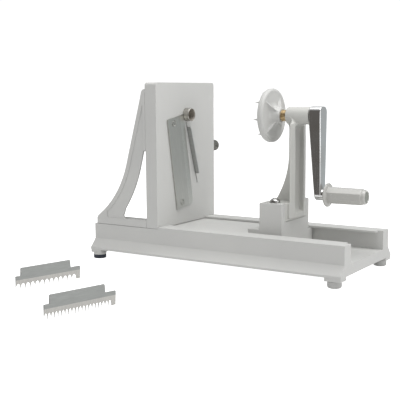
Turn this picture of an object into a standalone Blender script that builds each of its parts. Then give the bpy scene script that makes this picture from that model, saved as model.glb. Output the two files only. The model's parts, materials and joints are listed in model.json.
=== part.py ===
"""A hand-cranked vegetable slicer: a base tray, an upright cutting plate and a sliding pronged disc.

Run with: blender --background --python part.py
Sizes are in metres. +X runs along the tray to the crank end, -Y is the near side, +Z is up.
The machine is modelled about the centre of its own footprint, on the table. Everything hangs on one
empty, which puts the world's origin at the centre of the whole set's footprint, on the table.
"""
from math import asin, atan2, cos, hypot, pi, radians, sin, tan

import bmesh
import bpy
from mathutils import Matrix, Vector

# Clearances
GAP = 0.0003
RAIL_CLEARANCE = 0.0005

# How a joined shape sinks into its neighbour, how a cutter passes the face that it cuts, and by how
# much a cutter clears everything outside the piece
SINK = 0.001
PAST = 0.001
CLEAR = 0.010

# Points nearer than this are one
WELD = 0.000001

# A cut corner is drawn with one more point, this share of the corner in from its sides
CORNER_SHARE = 0.3

# Base tray: heights are taken from the underside of its pads
FOOT_HEIGHT = 0.008
BASE_LENGTH = 0.360
BASE_WIDTH = 0.1384
WALL_THICKNESS = 0.0181
WALL_HEIGHT = 0.040
FLOOR_HEIGHT = 0.0165
FLARE_HEIGHT = 0.018
FLARE_REACH = 0.010
LIP_HEIGHT = 0.0068
PAD_THICKNESS = 0.0042
SHELL = 0.003
FLARE_SHELL = 0.002
FLARE_PAST = 0.0004
FLARE_INSIDE_TURN = radians(72)
FLOOR_SKIRT = 0.004
SKIN_UNDER_SEAT = 0.0033
SEAT_DEPTH = 0.0022
RAIL_REACH = 0.0069
RAIL_END_SETBACK = 0.007
PAD_WIDTH = 0.016
LEFT_PAD_LENGTH = 0.016
RIGHT_PAD_LENGTH = 0.020
PAD_INSET = 0.0004
PAD_BURY = 0.003

# Feet
FOOT_RADIUS = 0.0083
FOOT_STEM_RADIUS = 0.003
FOOT_STEM_LENGTH = 0.0045
LEFT_FOOT_INSET = 0.0088
RIGHT_FOOT_INSET = 0.011
RUBBER_FOOT_EDGE = 0.0012
PLASTIC_FOOT_EDGE = 0.0024

# Cutting plate
PLATE_FRONT_FROM_LEFT = 0.1033
PLATE_THICKNESS = 0.0171
PLATE_HEIGHT = 0.1862
PLATE_CORNER = 0.004
PLATE_SIDE_SETBACK = 0.0003
PLATE_EDGE = 0.001

# Brackets behind the plate: lengths run back from the plate, heights run up from the seat
BRACKET_WIDTH = 0.016
BRACKET_HEIGHT = 0.178
BRACKET_LENGTH = 0.0825
BRACKET_TOP_DEPTH = 0.0046
BRACKET_TOP_CORNER = 0.003
STRUT_BEND = (0.0316, 0.0807)
STRUT_TOE = (0.0772, 0.0136)
TOE_HEIGHT = 0.009
TOE_ROUND = 0.0014
OPENING_TOP = 0.0998
OPENING_TOP_DEPTH = 0.0037
OPENING_BEND = (0.0100, 0.0755)
OPENING_CORNER = (0.0350, 0.0227)
FOOT_BAR_HEIGHT = 0.0094
OPENING_LOW_CORNER = 0.004
BRACKET_EDGE = 0.0009
PANEL_INSET = 0.0058
PANEL_DEPTH = 0.0007
PANEL_THICKNESS = 0.0026
PANEL_PLATE_SIDE = 0.004
PANEL_TOE_SIDE = 0.065
PANEL_CORNER = 0.0015

# Straight knife: its centre is given from the tray's centre line and from the shaft line
KNIFE_WIDTH = 0.039
KNIFE_LENGTH = 0.121
KNIFE_THICKNESS = 0.0015
KNIFE_BEVEL = 0.011
KNIFE_EDGE = 0.0003
KNIFE_TILT = radians(9.7)
KNIFE_CENTRE = (-0.0163, -0.0619)
KNIFE_SCREW_ACROSS = -0.0066
KNIFE_SCREW_ALONG = 0.0534
KNIFE_TUBE_CLEARANCE = 0.0006
THROAT_WIDTH = 0.0070
THROAT_LENGTH = 0.096
THROAT_DROP = 0.002
THROAT_PAST_EDGE = 0.0012

# Countersunk screws of the knife
SCREW_HEAD_RADIUS = 0.0043
SCREW_SHANK_RADIUS = 0.0018
SCREW_HEAD_DEPTH = 0.0022
SCREW_HEAD_RIM = 0.0003
SCREW_LENGTH = 0.012
SCREW_DRIVE_WIDTH = 0.0009
SCREW_DRIVE_DEPTH = 0.0007

# Shaft line
SHAFT_HEIGHT = 0.1822
SHAFT_RADIUS = 0.005

# Coring tube
TUBE_RADIUS = 0.0084
TUBE_BORE = 0.0072
TUBE_PROUD = 0.0087
TUBE_COLLAR_RADIUS = 0.0097
TUBE_COLLAR_LENGTH = 0.003
TUBE_EDGE = 0.0009
TUBE_LIP = 0.0002

# Combs: the teeth, the strip that they hang from and the tab above it
COMB_LENGTH = 0.0865
COMB_THICKNESS = 0.0014
TOOTH_LENGTH = 0.0065
STRIP_WIDTH = 0.009
TAB_WIDTH = 0.009
TAB_LENGTH = 0.066
TAB_OFFSET = 0.0068
TAB_SLANT = 0.0005
COMB_BLOCK = 0.0055
TOOTH_TIP = 0.0005
COARSE_TEETH = 13
FINE_TEETH = 20
SCALLOP_STEPS = 5

# Comb slot of the plate: its top end, from the tray's centre line and the shaft line
SLOT_TILT = radians(17.4)
SLOT_TOP_END = (-0.0007, -0.0098)
SLOT_END_CLEARANCE = 0.0004
SLOT_SIDE_CLEARANCE = 0.0004
FITTED_COMB_PROUD = 0.0060

# Clamp of the fitted comb, below the shaft line
CLAMP_DROP = 0.0452
CLAMP_FROM_FRONT = 0.0078
CLAMP_ROD_RADIUS = 0.002
CLAMP_THREAD_DEPTH = 0.007
CLAMP_KNOB_RADIUS = 0.0078
CLAMP_KNOB_LENGTH = 0.0156
CLAMP_KNOB_FLUTES = 16
CLAMP_FLUTE_DEPTH = 0.0005
CLAMP_KNOB_EDGE = 0.0006
INSERT_RADIUS = 0.004
INSERT_LENGTH = 0.008

# Loose combs, standing on their teeth on the table: their centres from the machine's centre
COARSE_COMB_AT = (-0.1212, -0.2237)
FINE_COMB_AT = (-0.0063, -0.29984)
LOOSE_COMB_HEADING = radians(75)

# Slide board: lengths are measured back from its crank end
BOARD_END_FROM_LEFT = 0.2655
BOARD_LENGTH = 0.1655
BOARD_THICKNESS = 0.0204
BOARD_SIDE_CLEARANCE = 0.0008
BOARD_CORNER = 0.003
BOARD_SHELL = 0.003
BOARD_EDGE = 0.0007
PLINTH_LENGTH = 0.0477
PLINTH_RISE = 0.0069
BLOCK_WIDTH = 0.075
BLOCK_LENGTH = 0.0315
BLOCK_RISE = 0.0398
BLOCK_SETBACK = 0.0002
POCKET_WIDTH = 0.0584
POCKET_LENGTH = 0.0290
POCKET_FLOOR_RISE = 0.0171

# Column on the board
FOOT_EDGE = 0.0006
STEM_PROUD = 0.0049
STEM_WIDTH = 0.0454
STEM_FLAT = 0.0242
STEM_FALL = 0.0026
STEM_DEPTH = 0.011
STEM_BACK_WIDTH = 0.011
STEM_START_RISE = 0.0032
STEM_SINK = 0.0015
STEM_EDGE = 0.0008
CHANNEL_WIDTH = 0.023
CHANNEL_DEPTH = 0.0065
CHANNEL_RAMP = 0.012
CHANNEL_START_RISE = 0.003
CHANNEL_TOP_GAP = 0.001
GUSSET_THICKNESS = 0.005
GUSSET_TOP_SETBACK = 0.0140
GUSSET_FOOT_SETBACK = 0.0324
GUSSET_BEND_RISE = 0.061
HOUSING_RADIUS = 0.01065
HOUSING_BACK_SETBACK = 0.0159
HOUSING_LENGTH = 0.0306
HOUSING_FILLET = 0.0019

# Dome screws of the column
DOME_RADIUS = 0.00645
DOME_HEIGHT = 0.0055
DOME_RIM = 0.0012
DOME_FLAT_DROP = 0.0003
DOME_SHANK_RADIUS = 0.0018
DOME_SHANK_LENGTH = 0.032
DOME_SPREAD = 0.026
DOME_FROM_END = 0.0155
DOME_SOCKET_RADIUS = 0.0022
DOME_SOCKET_DEPTH = 0.0022

# Bushes on the shaft
BUSH_RADIUS = 0.0069
FRONT_BUSH_PROUD = 0.0085
REAR_BUSH_PROUD = 0.0004
BUSH_INSIDE = 0.012

# Prong disc
DISC_RADIUS = 0.0334
DISC_THICKNESS = 0.0052
DISC_RIM = 0.0012
HUB_LENGTH = 0.0116
HUB_SMALL_RADIUS = 0.0085
HUB_LARGE_RADIUS = 0.012
DISC_BORE_DEPTH = 0.0135
RIB_COUNT = 4
RIB_REACH = 0.0285
RIB_THICKNESS = 0.0026
RIB_START = 0.004
RIB_INSET = 0.0005
RIB_BELOW_HUB = 0.0008
RIB_PHASE = radians(40)
PRONG_COUNT = 8
PRONG_CIRCLE = 0.028
PRONG_LENGTH = 0.009
PRONG_RADIUS = 0.0022
PRONG_TIP_RADIUS = 0.0003
PRONG_PHASE = radians(-9)

# Crank arm
CRANK_THROW = 0.095
CRANK_GAP = 0.0003
CRANK_TOP_HALF = 0.0103
CRANK_TOP_CORNER = 0.005
CRANK_LOW_RADIUS = 0.0073
CRANK_TOP_THICKNESS = 0.0157
CRANK_LOW_THICKNESS = 0.0087
CRANK_EDGE = 0.0022
CRANK_SOCKET_DEPTH = 0.0115
CRANK_BOSS_RADIUS = 0.0067
CRANK_BOSS_LENGTH = 0.0052

# Handle
AXLE_RADIUS = 0.0035
AXLE_SOCKET_DEPTH = 0.0105
COLLAR_RADIUS = 0.0145
COLLAR_THICKNESS = 0.0026
COLLAR_EDGE = 0.0009
GRIP_FLATS = 0.0195
GRIP_END_SHARE = 0.89
GRIP_LENGTH = 0.044
GRIP_CORNER = 0.0005
COUNTERBORE_RADIUS = 0.0065
COUNTERBORE_DEPTH = 0.009
WASHER_RADIUS = 0.0058
WASHER_THICKNESS = 0.0008
HANDLE_SCREW_RADIUS = 0.0045
HANDLE_SCREW_HEIGHT = 0.0026
HANDLE_SCREW_SHANK = 0.0018
HANDLE_SCREW_EDGE = 0.0006
HANDLE_SCREW_LENGTH = 0.009
CAP_RADIUS = 0.0083
CAP_THICKNESS = 0.004
CAP_PLUG_DEPTH = 0.0022
CAP_EDGE = 0.0012

# Screws under the tray walls
BASE_SCREW_RADIUS = 0.0017
BASE_SCREW_HEAD = 0.0034
BASE_SCREW_HEAD_HEIGHT = 0.0022
BASE_SCREW_REACH = 0.0065
BRACKET_SCREW_SPOTS = (0.018, 0.066)

# Roundness
FINE_STEPS = 48
ROUND_STEPS = 28
COARSE_STEPS = 20
SMALL_STEPS = 16

# Places that follow from the sizes above
LEFT_END = -BASE_LENGTH / 2
RIGHT_END = BASE_LENGTH / 2
HALF_WIDTH = BASE_WIDTH / 2
TROUGH_HALF = HALF_WIDTH - WALL_THICKNESS
PLATE_SCREW_OUT = HALF_WIDTH - WALL_THICKNESS / 2
FOOT_OUT = HALF_WIDTH + FLARE_REACH - FOOT_RADIUS
PAD_Z = FOOT_HEIGHT
LIP_Z = PAD_Z + PAD_THICKNESS
FLARE_FOOT_Z = PAD_Z + LIP_HEIGHT
FLARE_TOP_Z = PAD_Z + FLARE_HEIGHT
FLOOR_Z = PAD_Z + FLOOR_HEIGHT
WALL_TOP_Z = PAD_Z + WALL_HEIGHT
SEAT_Z = WALL_TOP_Z - SEAT_DEPTH
SEATED_Z = SEAT_Z + GAP
PLATE_FRONT_X = LEFT_END + PLATE_FRONT_FROM_LEFT
PLATE_BACK_X = PLATE_FRONT_X - PLATE_THICKNESS
PLATE_MIDDLE_X = PLATE_FRONT_X - PLATE_THICKNESS / 2
SHAFT_Z = PAD_Z + SHAFT_HEIGHT
STRUT_LEAN = atan2(STRUT_BEND[0] - BRACKET_TOP_DEPTH, BRACKET_HEIGHT - STRUT_BEND[1])
BOARD_BASE_Z = FLOOR_Z + GAP
BOARD_TOP_Z = BOARD_BASE_Z + BOARD_THICKNESS
RAIL_Z = BOARD_TOP_Z + RAIL_CLEARANCE
BOARD_END_X = LEFT_END + BOARD_END_FROM_LEFT
BLOCK_TOP_Z = BOARD_TOP_Z + BLOCK_RISE
POCKET_FLOOR_Z = BOARD_TOP_Z + POCKET_FLOOR_RISE
STEM_FRONT_X = BOARD_END_X + STEM_PROUD
STEM_FOOT_Z = POCKET_FLOOR_Z + STEM_START_RISE
HOUSING_BACK_X = STEM_FRONT_X - HOUSING_BACK_SETBACK
HOUSING_FRONT_X = HOUSING_BACK_X + HOUSING_LENGTH
FRONT_BUSH_X = HOUSING_BACK_X - FRONT_BUSH_PROUD
REAR_BUSH_X = HOUSING_FRONT_X + REAR_BUSH_PROUD
HUB_X = FRONT_BUSH_X - GAP
DISC_BACK_X = HUB_X - HUB_LENGTH
DISC_FRONT_X = DISC_BACK_X - DISC_THICKNESS
CRANK_BACK_X = REAR_BUSH_X + CRANK_GAP
CRANK_FRONT_X = CRANK_BACK_X + CRANK_TOP_THICKNESS
HANDLE_Z = SHAFT_Z - CRANK_THROW
BOSS_END_X = CRANK_FRONT_X + CRANK_BOSS_LENGTH
COLLAR_X = BOSS_END_X + GAP
GRIP_END_X = COLLAR_X + COLLAR_THICKNESS + GRIP_LENGTH
AXLE_START_X = BOSS_END_X - AXLE_SOCKET_DEPTH
COUNTERBORE_X = GRIP_END_X - COUNTERBORE_DEPTH
AXLE_END_X = COUNTERBORE_X + GAP
CLAMP_Z = SHAFT_Z - CLAMP_DROP
CLAMP_X = PLATE_FRONT_X - CLAMP_FROM_FRONT
PLATE_HALF = HALF_WIDTH - PLATE_SIDE_SETBACK
SLOT_LENGTH = COMB_LENGTH + 2 * SLOT_END_CLEARANCE
SLOT_WIDTH = COMB_THICKNESS + 2 * SLOT_SIDE_CLEARANCE
COMB_HEIGHT = TOOTH_LENGTH + STRIP_WIDTH + TAB_WIDTH
SLOT_UP = Vector((0, -sin(SLOT_TILT), cos(SLOT_TILT)))
SLOT_ACROSS = Vector((0, cos(SLOT_TILT), sin(SLOT_TILT)))
SLOT_TOP = Vector((0, SLOT_TOP_END[0], SHAFT_Z + SLOT_TOP_END[1]))
SLOT_LOW = SLOT_TOP - SLOT_UP * SLOT_LENGTH
KNIFE_UP = Vector((0, -sin(KNIFE_TILT), cos(KNIFE_TILT)))
KNIFE_ACROSS = Vector((0, cos(KNIFE_TILT), sin(KNIFE_TILT)))
KNIFE_MIDDLE = Vector((PLATE_FRONT_X + GAP, KNIFE_CENTRE[0], SHAFT_Z + KNIFE_CENTRE[1]))

# Directions for shapes drawn flat or turned about their own Z
ALONG_X = Matrix(((0, 0, 1), (1, 0, 0), (0, 1, 0)))
ALONG_MINUS_Y = Matrix(((1, 0, 0), (0, 0, -1), (0, 1, 0)))
ALONG_Y = Matrix(((-1, 0, 0), (0, 0, 1), (0, 1, 0)))
ALONG_Z = Matrix.Identity(3)

# Finishes: colour, roughness, metallic
WHITE_PLASTIC = ((0.62, 0.62, 0.60), 0.42, 0.0)
GREY_PLASTIC = ((0.52, 0.52, 0.50), 0.45, 0.0)
STEEL = ((0.36, 0.36, 0.34), 0.32, 1.0)
BRIGHT_STEEL = ((0.60, 0.61, 0.60), 0.15, 1.0)
DARK_STEEL = ((0.22, 0.21, 0.20), 0.35, 1.0)
BRASS = ((0.46, 0.31, 0.13), 0.35, 1.0)
RUBBER = ((0.035, 0.045, 0.06), 0.75, 0.0)


def clear_scene():
    """Removes what the file opened with."""
    for old in list(bpy.data.objects):
        bpy.data.objects.remove(old, do_unlink=True)


def new_collection(name):
    collection = bpy.data.collections.new(name)
    bpy.context.scene.collection.children.link(collection)
    return collection


def place(obj, rotation, at):
    """Sets where an object lies and how it is turned."""
    obj.matrix_world = Matrix.Translation(Vector(at)) @ rotation.to_4x4()


def add_object(name, mesh, rotation=ALONG_Z, at=(0, 0, 0)):
    obj = bpy.data.objects.new(name, mesh)
    PARTS.objects.link(obj)
    place(obj, rotation, at)
    return obj


def box(name, low, high):
    """A block between two corners, with its origin in its middle."""
    size = [top - bottom for bottom, top in zip(low, high)]
    middle = [(top + bottom) / 2 for bottom, top in zip(low, high)]
    shape = bmesh.new()
    bmesh.ops.create_cube(shape, size=1.0)
    bmesh.ops.scale(shape, vec=size, verts=shape.verts)
    mesh = bpy.data.meshes.new(name)
    shape.to_mesh(mesh)
    shape.free()
    return add_object(name, mesh, ALONG_Z, middle)


def turned_box(name, size, rotation, at):
    """A block of one size about its own middle, then turned."""
    half = [length / 2 for length in size]
    block = box(name, [-length for length in half], half)
    place(block, rotation, at)
    return block


def slab(name, outline, thickness, rotation, at):
    """A flat outline with an even thickness, half on each side of its plane."""
    curve = bpy.data.curves.new(name, 'CURVE')
    curve.dimensions = '2D'
    curve.fill_mode = 'BOTH'
    curve.extrude = thickness / 2
    spline = curve.splines.new('POLY')
    spline.points.add(len(outline) - 1)
    for point, (across, up) in zip(spline.points, outline):
        point.co = (across, up, 0, 1)
    spline.use_cyclic_u = True
    drawn = bpy.data.objects.new(name + "_outline", curve)
    PARTS.objects.link(drawn)
    bpy.context.view_layer.update()
    graph = bpy.context.evaluated_depsgraph_get()
    mesh = bpy.data.meshes.new_from_object(drawn.evaluated_get(graph))
    bpy.data.objects.remove(drawn, do_unlink=True)
    shape = bmesh.new()
    shape.from_mesh(mesh)
    bmesh.ops.remove_doubles(shape, verts=shape.verts, dist=WELD)
    bmesh.ops.recalc_face_normals(shape, faces=shape.faces)
    shape.to_mesh(mesh)
    shape.free()
    mesh.name = name
    return add_object(name, mesh, rotation, at)


def turned(name, profile, rotation, at, steps=ROUND_STEPS, ring=False):
    """A profile of (radius, height) points, from its top down the outside, turned about Z."""
    count = len(profile)
    edges = [(index, index + 1) for index in range(count - 1)]
    if ring:
        edges.append((count - 1, 0))
    mesh = bpy.data.meshes.new(name)
    mesh.from_pydata([(radius, 0, height) for radius, height in profile], edges, [])
    obj = add_object(name, mesh, rotation, at)
    screw = obj.modifiers.new("turn", 'SCREW')
    screw.axis = 'Z'
    screw.angle = 2 * pi
    screw.steps = steps
    screw.render_steps = steps
    screw.use_merge_vertices = True
    screw.merge_threshold = 10 * WELD
    return obj


def rod(name, radius, start, length, rotation, at, steps=ROUND_STEPS):
    """A plain round bar along its own Z, from a start height."""
    end = start + length
    return turned(name, [(0, end), (radius, end), (radius, start), (0, start)], rotation, at, steps)


def bore(name, radius, start, length, rotation, at, steps=ROUND_STEPS):
    """A round cutter, turned half a step so that its edges miss those of a coaxial piece."""
    return rod(name, radius, start, length, rotation @ Matrix.Rotation(pi / steps, 3, 'Z'), at, steps)


def tube(name, outer, inner, start, length, rotation, at, steps=ROUND_STEPS):
    """A plain ring along its own Z, from a start height."""
    end = start + length
    profile = [(outer, end), (outer, start), (inner, start), (inner, end)]
    return turned(name, profile, rotation, at, steps, ring=True)


def set_aside(helper):
    """Moves a helper to the cutters, out of the model."""
    for collection in list(helper.users_collection):
        collection.objects.unlink(helper)
    CUTTERS.objects.link(helper)
    helper.hide_render = True
    helper.display_type = 'WIRE'


def combine(target, helper, operation):
    modifier = target.modifiers.new(helper.name, 'BOOLEAN')
    modifier.operation = operation
    modifier.solver = 'EXACT'
    modifier.object = helper
    set_aside(helper)


def cut(target, *helpers):
    for helper in helpers:
        combine(target, helper, 'DIFFERENCE')


def join(target, *helpers):
    for helper in helpers:
        combine(target, helper, 'UNION')


def round_edges(obj, width, segments=1, angle=35):
    bevel = obj.modifiers.new("rounded_edges", 'BEVEL')
    bevel.width = width
    bevel.segments = segments
    bevel.limit_method = 'ANGLE'
    bevel.angle_limit = radians(angle)


def finish(obj, look):
    """Gives a piece its own material."""
    colour, roughness, metallic = look
    material = bpy.data.materials.new(obj.name + "_finish")
    material.use_nodes = True
    shader = material.node_tree.nodes["Principled BSDF"]
    shader.inputs["Base Color"].default_value = (*colour, 1)
    shader.inputs["Roughness"].default_value = roughness
    shader.inputs["Metallic"].default_value = metallic
    material.diffuse_color = (*colour, 1)
    obj.data.materials.append(material)
    obj.data.shade_smooth()
    obj.data.set_sharp_from_angle(angle=radians(35))


def joint_empty(name, at, parent=None):
    """An empty on a joint's axis, which the moving pieces hang on."""
    empty = bpy.data.objects.new(name, None)
    PARTS.objects.link(empty)
    empty.empty_display_size = BASE_LENGTH / 18
    empty.matrix_world = Matrix.Translation(Vector(at))
    if parent:
        hang(empty, parent)
    return empty


def hang(obj, parent):
    """Parents an object and leaves it where it is."""
    bpy.context.view_layer.update()
    obj.parent = parent
    obj.matrix_parent_inverse = parent.matrix_world.inverted()


def arc(centre, radius, start, end, steps):
    """Points along a circle, from one angle to another."""
    step = (end - start) / steps
    return [(centre[0] + radius * cos(start + step * index),
             centre[1] + radius * sin(start + step * index)) for index in range(steps + 1)]


def arc_leaving(start, end, heading, steps):
    """Points of the one circle that leaves a point along a heading and meets another point."""
    chord = (end[0] - start[0], end[1] - start[1])
    length = hypot(*chord)
    turn = atan2(chord[1], chord[0]) - heading
    turn = (turn + pi) % (2 * pi) - pi
    radius = length / (2 * sin(turn))
    centre = (start[0] - radius * sin(heading), start[1] + radius * cos(heading))
    first = heading - pi / 2
    return arc(centre, radius, first, first + 2 * turn, steps)


def inset(points, distance):
    """The points of an open line moved to its right-hand side, as it is followed."""
    moved = []
    for index, (across, up) in enumerate(points):
        before = points[max(index - 1, 0)]
        after = points[min(index + 1, len(points) - 1)]
        along = (after[0] - before[0], after[1] - before[1])
        length = hypot(*along)
        moved.append((across + along[1] / length * distance, up - along[0] / length * distance))
    return moved


def mirrored(points):
    """The same points on the other side of the upright axis, in reverse order."""
    return [(-across, up) for across, up in reversed(points)]


def flare_curve(half, top, reach, drop, last, steps):
    """A hollow flare: it leaves the wall upright and runs out level."""
    curve = []
    for index in range(steps + 1):
        angle = last * index / steps
        curve.append((half + reach * (1 - cos(angle)), top - drop * sin(angle)))
    return curve


def pad_spots():
    """Each pad's end of the tray, side of the tray and length."""
    return [(end, side, LEFT_PAD_LENGTH if end < 0 else RIGHT_PAD_LENGTH)
            for end in (-1, 1) for side in (-1, 1)]


def foot_spot(end, side):
    inset = LEFT_FOOT_INSET if end < 0 else RIGHT_FOOT_INSET
    return (end * (BASE_LENGTH / 2 - inset), side * FOOT_OUT)


def screw_spots():
    """The six screws that go up through the wall tops, by name."""
    spots = {}
    for side, side_name in ((-1, "near"), (1, "far")):
        for back, place_name in zip(BRACKET_SCREW_SPOTS, ("front", "rear")):
            spots[f"{side_name}_{place_name}_bracket_screw"] = (PLATE_BACK_X - back, side * bracket_middle())
        spots[f"{side_name}_plate_screw"] = (PLATE_MIDDLE_X, side * PLATE_SCREW_OUT)
    return spots


def bracket_middle():
    return PLATE_HALF - BRACKET_WIDTH / 2


def make_base_tray():
    outside_half = [(TROUGH_HALF, FLOOR_Z), (TROUGH_HALF, RAIL_Z),
                    (TROUGH_HALF - RAIL_REACH, RAIL_Z), (TROUGH_HALF - RAIL_REACH, WALL_TOP_Z),
                    (HALF_WIDTH, WALL_TOP_Z)]
    flare_drop = FLARE_TOP_Z - FLARE_FOOT_Z
    outside_half += flare_curve(HALF_WIDTH, FLARE_TOP_Z, FLARE_REACH, flare_drop, pi / 2, 8)
    outside_half.append((HALF_WIDTH + FLARE_REACH, LIP_Z))
    tray = slab("base_tray", outside_half + mirrored(outside_half), BASE_LENGTH, ALONG_X, (0, 0, 0))

    inside_top = SEAT_Z - SKIN_UNDER_SEAT
    hollow_half = [(TROUGH_HALF + SHELL, FLOOR_Z - SHELL), (TROUGH_HALF + SHELL, inside_top),
                   (HALF_WIDTH - SHELL, inside_top)]
    inner_top = FLARE_TOP_Z - FLARE_SHELL
    hollow_half += flare_curve(HALF_WIDTH - SHELL, inner_top, FLARE_REACH, inner_top - LIP_Z + FLARE_PAST,
                               FLARE_INSIDE_TURN, 5)
    hollow_half.append((hollow_half[-1][0], LIP_Z - PAST))
    hollow = slab("tray_hollow", hollow_half + mirrored(hollow_half), BASE_LENGTH - 2 * SHELL,
                  ALONG_X, (0, 0, 0))
    cut(tray, hollow)

    seat_end = PLATE_FRONT_X + GAP
    wide = HALF_WIDTH + CLEAR
    over_floor = FLOOR_Z + FLOOR_SKIRT
    cut(tray,
        box("seat_cut", (LEFT_END - CLEAR, -wide, SEAT_Z), (seat_end, wide, WALL_TOP_Z + CLEAR)),
        box("rail_cut_left", (LEFT_END - CLEAR, -TROUGH_HALF, over_floor),
            (seat_end, TROUGH_HALF, WALL_TOP_Z + 2 * CLEAR)),
        box("rail_cut_right", (RIGHT_END - RAIL_END_SETBACK, -TROUGH_HALF, over_floor),
            (RIGHT_END + CLEAR, TROUGH_HALF, WALL_TOP_Z + CLEAR)))

    for end, side, length in pad_spots():
        outer_x = end * (BASE_LENGTH / 2 - PAD_INSET)
        inner_x = outer_x - end * length
        outer_y = side * (HALF_WIDTH + FLARE_REACH - PAD_INSET)
        inner_y = outer_y - side * PAD_WIDTH
        low = (min(outer_x, inner_x), min(outer_y, inner_y), PAD_Z)
        high = (max(outer_x, inner_x), max(outer_y, inner_y), LIP_Z + PAD_BURY)
        join(tray, box("pad", low, high))
    for end, side, _ in pad_spots():
        spot = foot_spot(end, side)
        cut(tray, bore("stem_hole", FOOT_STEM_RADIUS + GAP, PAD_Z - PAST, PAST + FOOT_STEM_LENGTH + GAP,
                      ALONG_Z, (*spot, 0), SMALL_STEPS))
    for spot in screw_spots().values():
        cut(tray, bore("screw_hole", BASE_SCREW_RADIUS + GAP, inside_top - PAST,
                      SKIN_UNDER_SEAT + 2 * PAST, ALONG_Z, (*spot, 0), SMALL_STEPS))
    finish(tray, WHITE_PLASTIC)
    return tray


def make_foot(name, end, side, edge, look):
    """A round foot with a stem that sits in the pad's hole."""
    top = PAD_Z - GAP
    profile = [(0, top + FOOT_STEM_LENGTH), (FOOT_STEM_RADIUS, top + FOOT_STEM_LENGTH),
               (FOOT_STEM_RADIUS, top), (FOOT_RADIUS, top), (FOOT_RADIUS, edge),
               (FOOT_RADIUS - edge * CORNER_SHARE, edge * CORNER_SHARE), (FOOT_RADIUS - edge, 0), (0, 0)]
    foot = turned(name, profile, ALONG_Z, (*foot_spot(end, side), 0))
    finish(foot, look)


def make_feet():
    make_foot("near_rubber_foot", -1, -1, RUBBER_FOOT_EDGE, RUBBER)
    make_foot("far_rubber_foot", -1, 1, RUBBER_FOOT_EDGE, RUBBER)
    make_foot("near_crank_end_foot", 1, -1, PLASTIC_FOOT_EDGE, GREY_PLASTIC)
    make_foot("far_crank_end_foot", 1, 1, PLASTIC_FOOT_EDGE, GREY_PLASTIC)


def make_base_screws():
    """Six screws in the hollow walls, up into the plate and the brackets."""
    head_top = SEAT_Z - SKIN_UNDER_SEAT - GAP
    tip = SEATED_Z + BASE_SCREW_REACH
    profile = [(0, tip), (BASE_SCREW_RADIUS, tip), (BASE_SCREW_RADIUS, head_top),
               (BASE_SCREW_HEAD, head_top), (BASE_SCREW_HEAD, head_top - BASE_SCREW_HEAD_HEIGHT),
               (0, head_top - BASE_SCREW_HEAD_HEIGHT)]
    for name, spot in screw_spots().items():
        finish(turned(name, profile, ALONG_Z, (*spot, 0), SMALL_STEPS), STEEL)


def screw_socket(spot):
    """The blind hole that a base screw bites into."""
    return bore("screw_socket", BASE_SCREW_RADIUS + GAP, SEATED_Z - PAST, PAST + BASE_SCREW_REACH + GAP,
               ALONG_Z, (*spot, 0), SMALL_STEPS)


def bracket_outline():
    """A curved strut on a foot bar, open to the plate; across is the distance behind the plate."""
    down = radians(-90) + STRUT_LEAN
    top = BRACKET_HEIGHT
    corner = BRACKET_TOP_CORNER
    knee = corner * CORNER_SHARE
    outline = [(0, top), (BRACKET_TOP_DEPTH - corner, top), (BRACKET_TOP_DEPTH - knee, top - knee),
               (BRACKET_TOP_DEPTH + corner * tan(STRUT_LEAN), top - corner)]
    outline += arc_leaving(STRUT_BEND, STRUT_TOE, down, 9)
    outline += [(BRACKET_LENGTH - TOE_ROUND, TOE_HEIGHT + TOE_ROUND),
                (BRACKET_LENGTH, TOE_HEIGHT - TOE_ROUND)]
    outline += [(BRACKET_LENGTH, 0), (0, 0), (0, FOOT_BAR_HEIGHT)]
    low_corner = (OPENING_CORNER[0] - OPENING_LOW_CORNER / 5, FOOT_BAR_HEIGHT + OPENING_LOW_CORNER)
    outline += arc(low_corner, OPENING_LOW_CORNER, radians(-90), radians(45), 5)
    inner = arc_leaving(OPENING_BEND, OPENING_CORNER, down, 7)
    outline += list(reversed(inner))
    outline += [(OPENING_TOP_DEPTH, OPENING_TOP), (0, OPENING_TOP)]
    return outline


def panel_outline():
    """The bracket's thin panel: an even rim inside the strut's outer curve, over the foot bar."""
    down = radians(-90) + STRUT_LEAN
    curve = [(BRACKET_TOP_DEPTH, BRACKET_HEIGHT)] + arc_leaving(STRUT_BEND, STRUT_TOE, down, 9)
    rim = inset(curve, PANEL_INSET)
    top = rim[0][1] + (rim[0][0] - PANEL_PLATE_SIDE) / tan(STRUT_LEAN)
    inner = [point for point in rim[1:] if point[0] < PANEL_TOE_SIDE - PANEL_CORNER]
    toe = PANEL_TOE_SIDE
    bar = FOOT_BAR_HEIGHT
    return [(PANEL_PLATE_SIDE, top), *inner, (toe, inner[-1][1] - 2 * PANEL_CORNER), (toe, bar + PANEL_CORNER),
            (toe - PANEL_CORNER, bar), (PANEL_PLATE_SIDE, bar)]


def make_bracket(name, side):
    behind = PLATE_BACK_X - GAP
    outline = [(behind - across, SEATED_Z + up) for across, up in bracket_outline()]
    bracket = slab(name, outline, BRACKET_WIDTH, ALONG_MINUS_Y, (0, side * bracket_middle(), 0))
    round_edges(bracket, BRACKET_EDGE)
    panel = [(behind - across, SEATED_Z + up) for across, up in panel_outline()]
    outside = bracket_middle() + BRACKET_WIDTH / 2
    recess_middle = outside - PANEL_DEPTH + CLEAR / 2
    pocket_middle = outside - PANEL_DEPTH - PANEL_THICKNESS - BRACKET_WIDTH / 2
    cut(bracket,
        slab("panel_recess", panel, CLEAR, ALONG_MINUS_Y, (0, side * recess_middle, 0)),
        slab("panel_pocket", panel, BRACKET_WIDTH, ALONG_MINUS_Y, (0, side * pocket_middle, 0)))
    for back in BRACKET_SCREW_SPOTS:
        cut(bracket, screw_socket((PLATE_BACK_X - back, side * bracket_middle())))
    finish(bracket, WHITE_PLASTIC)


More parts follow.
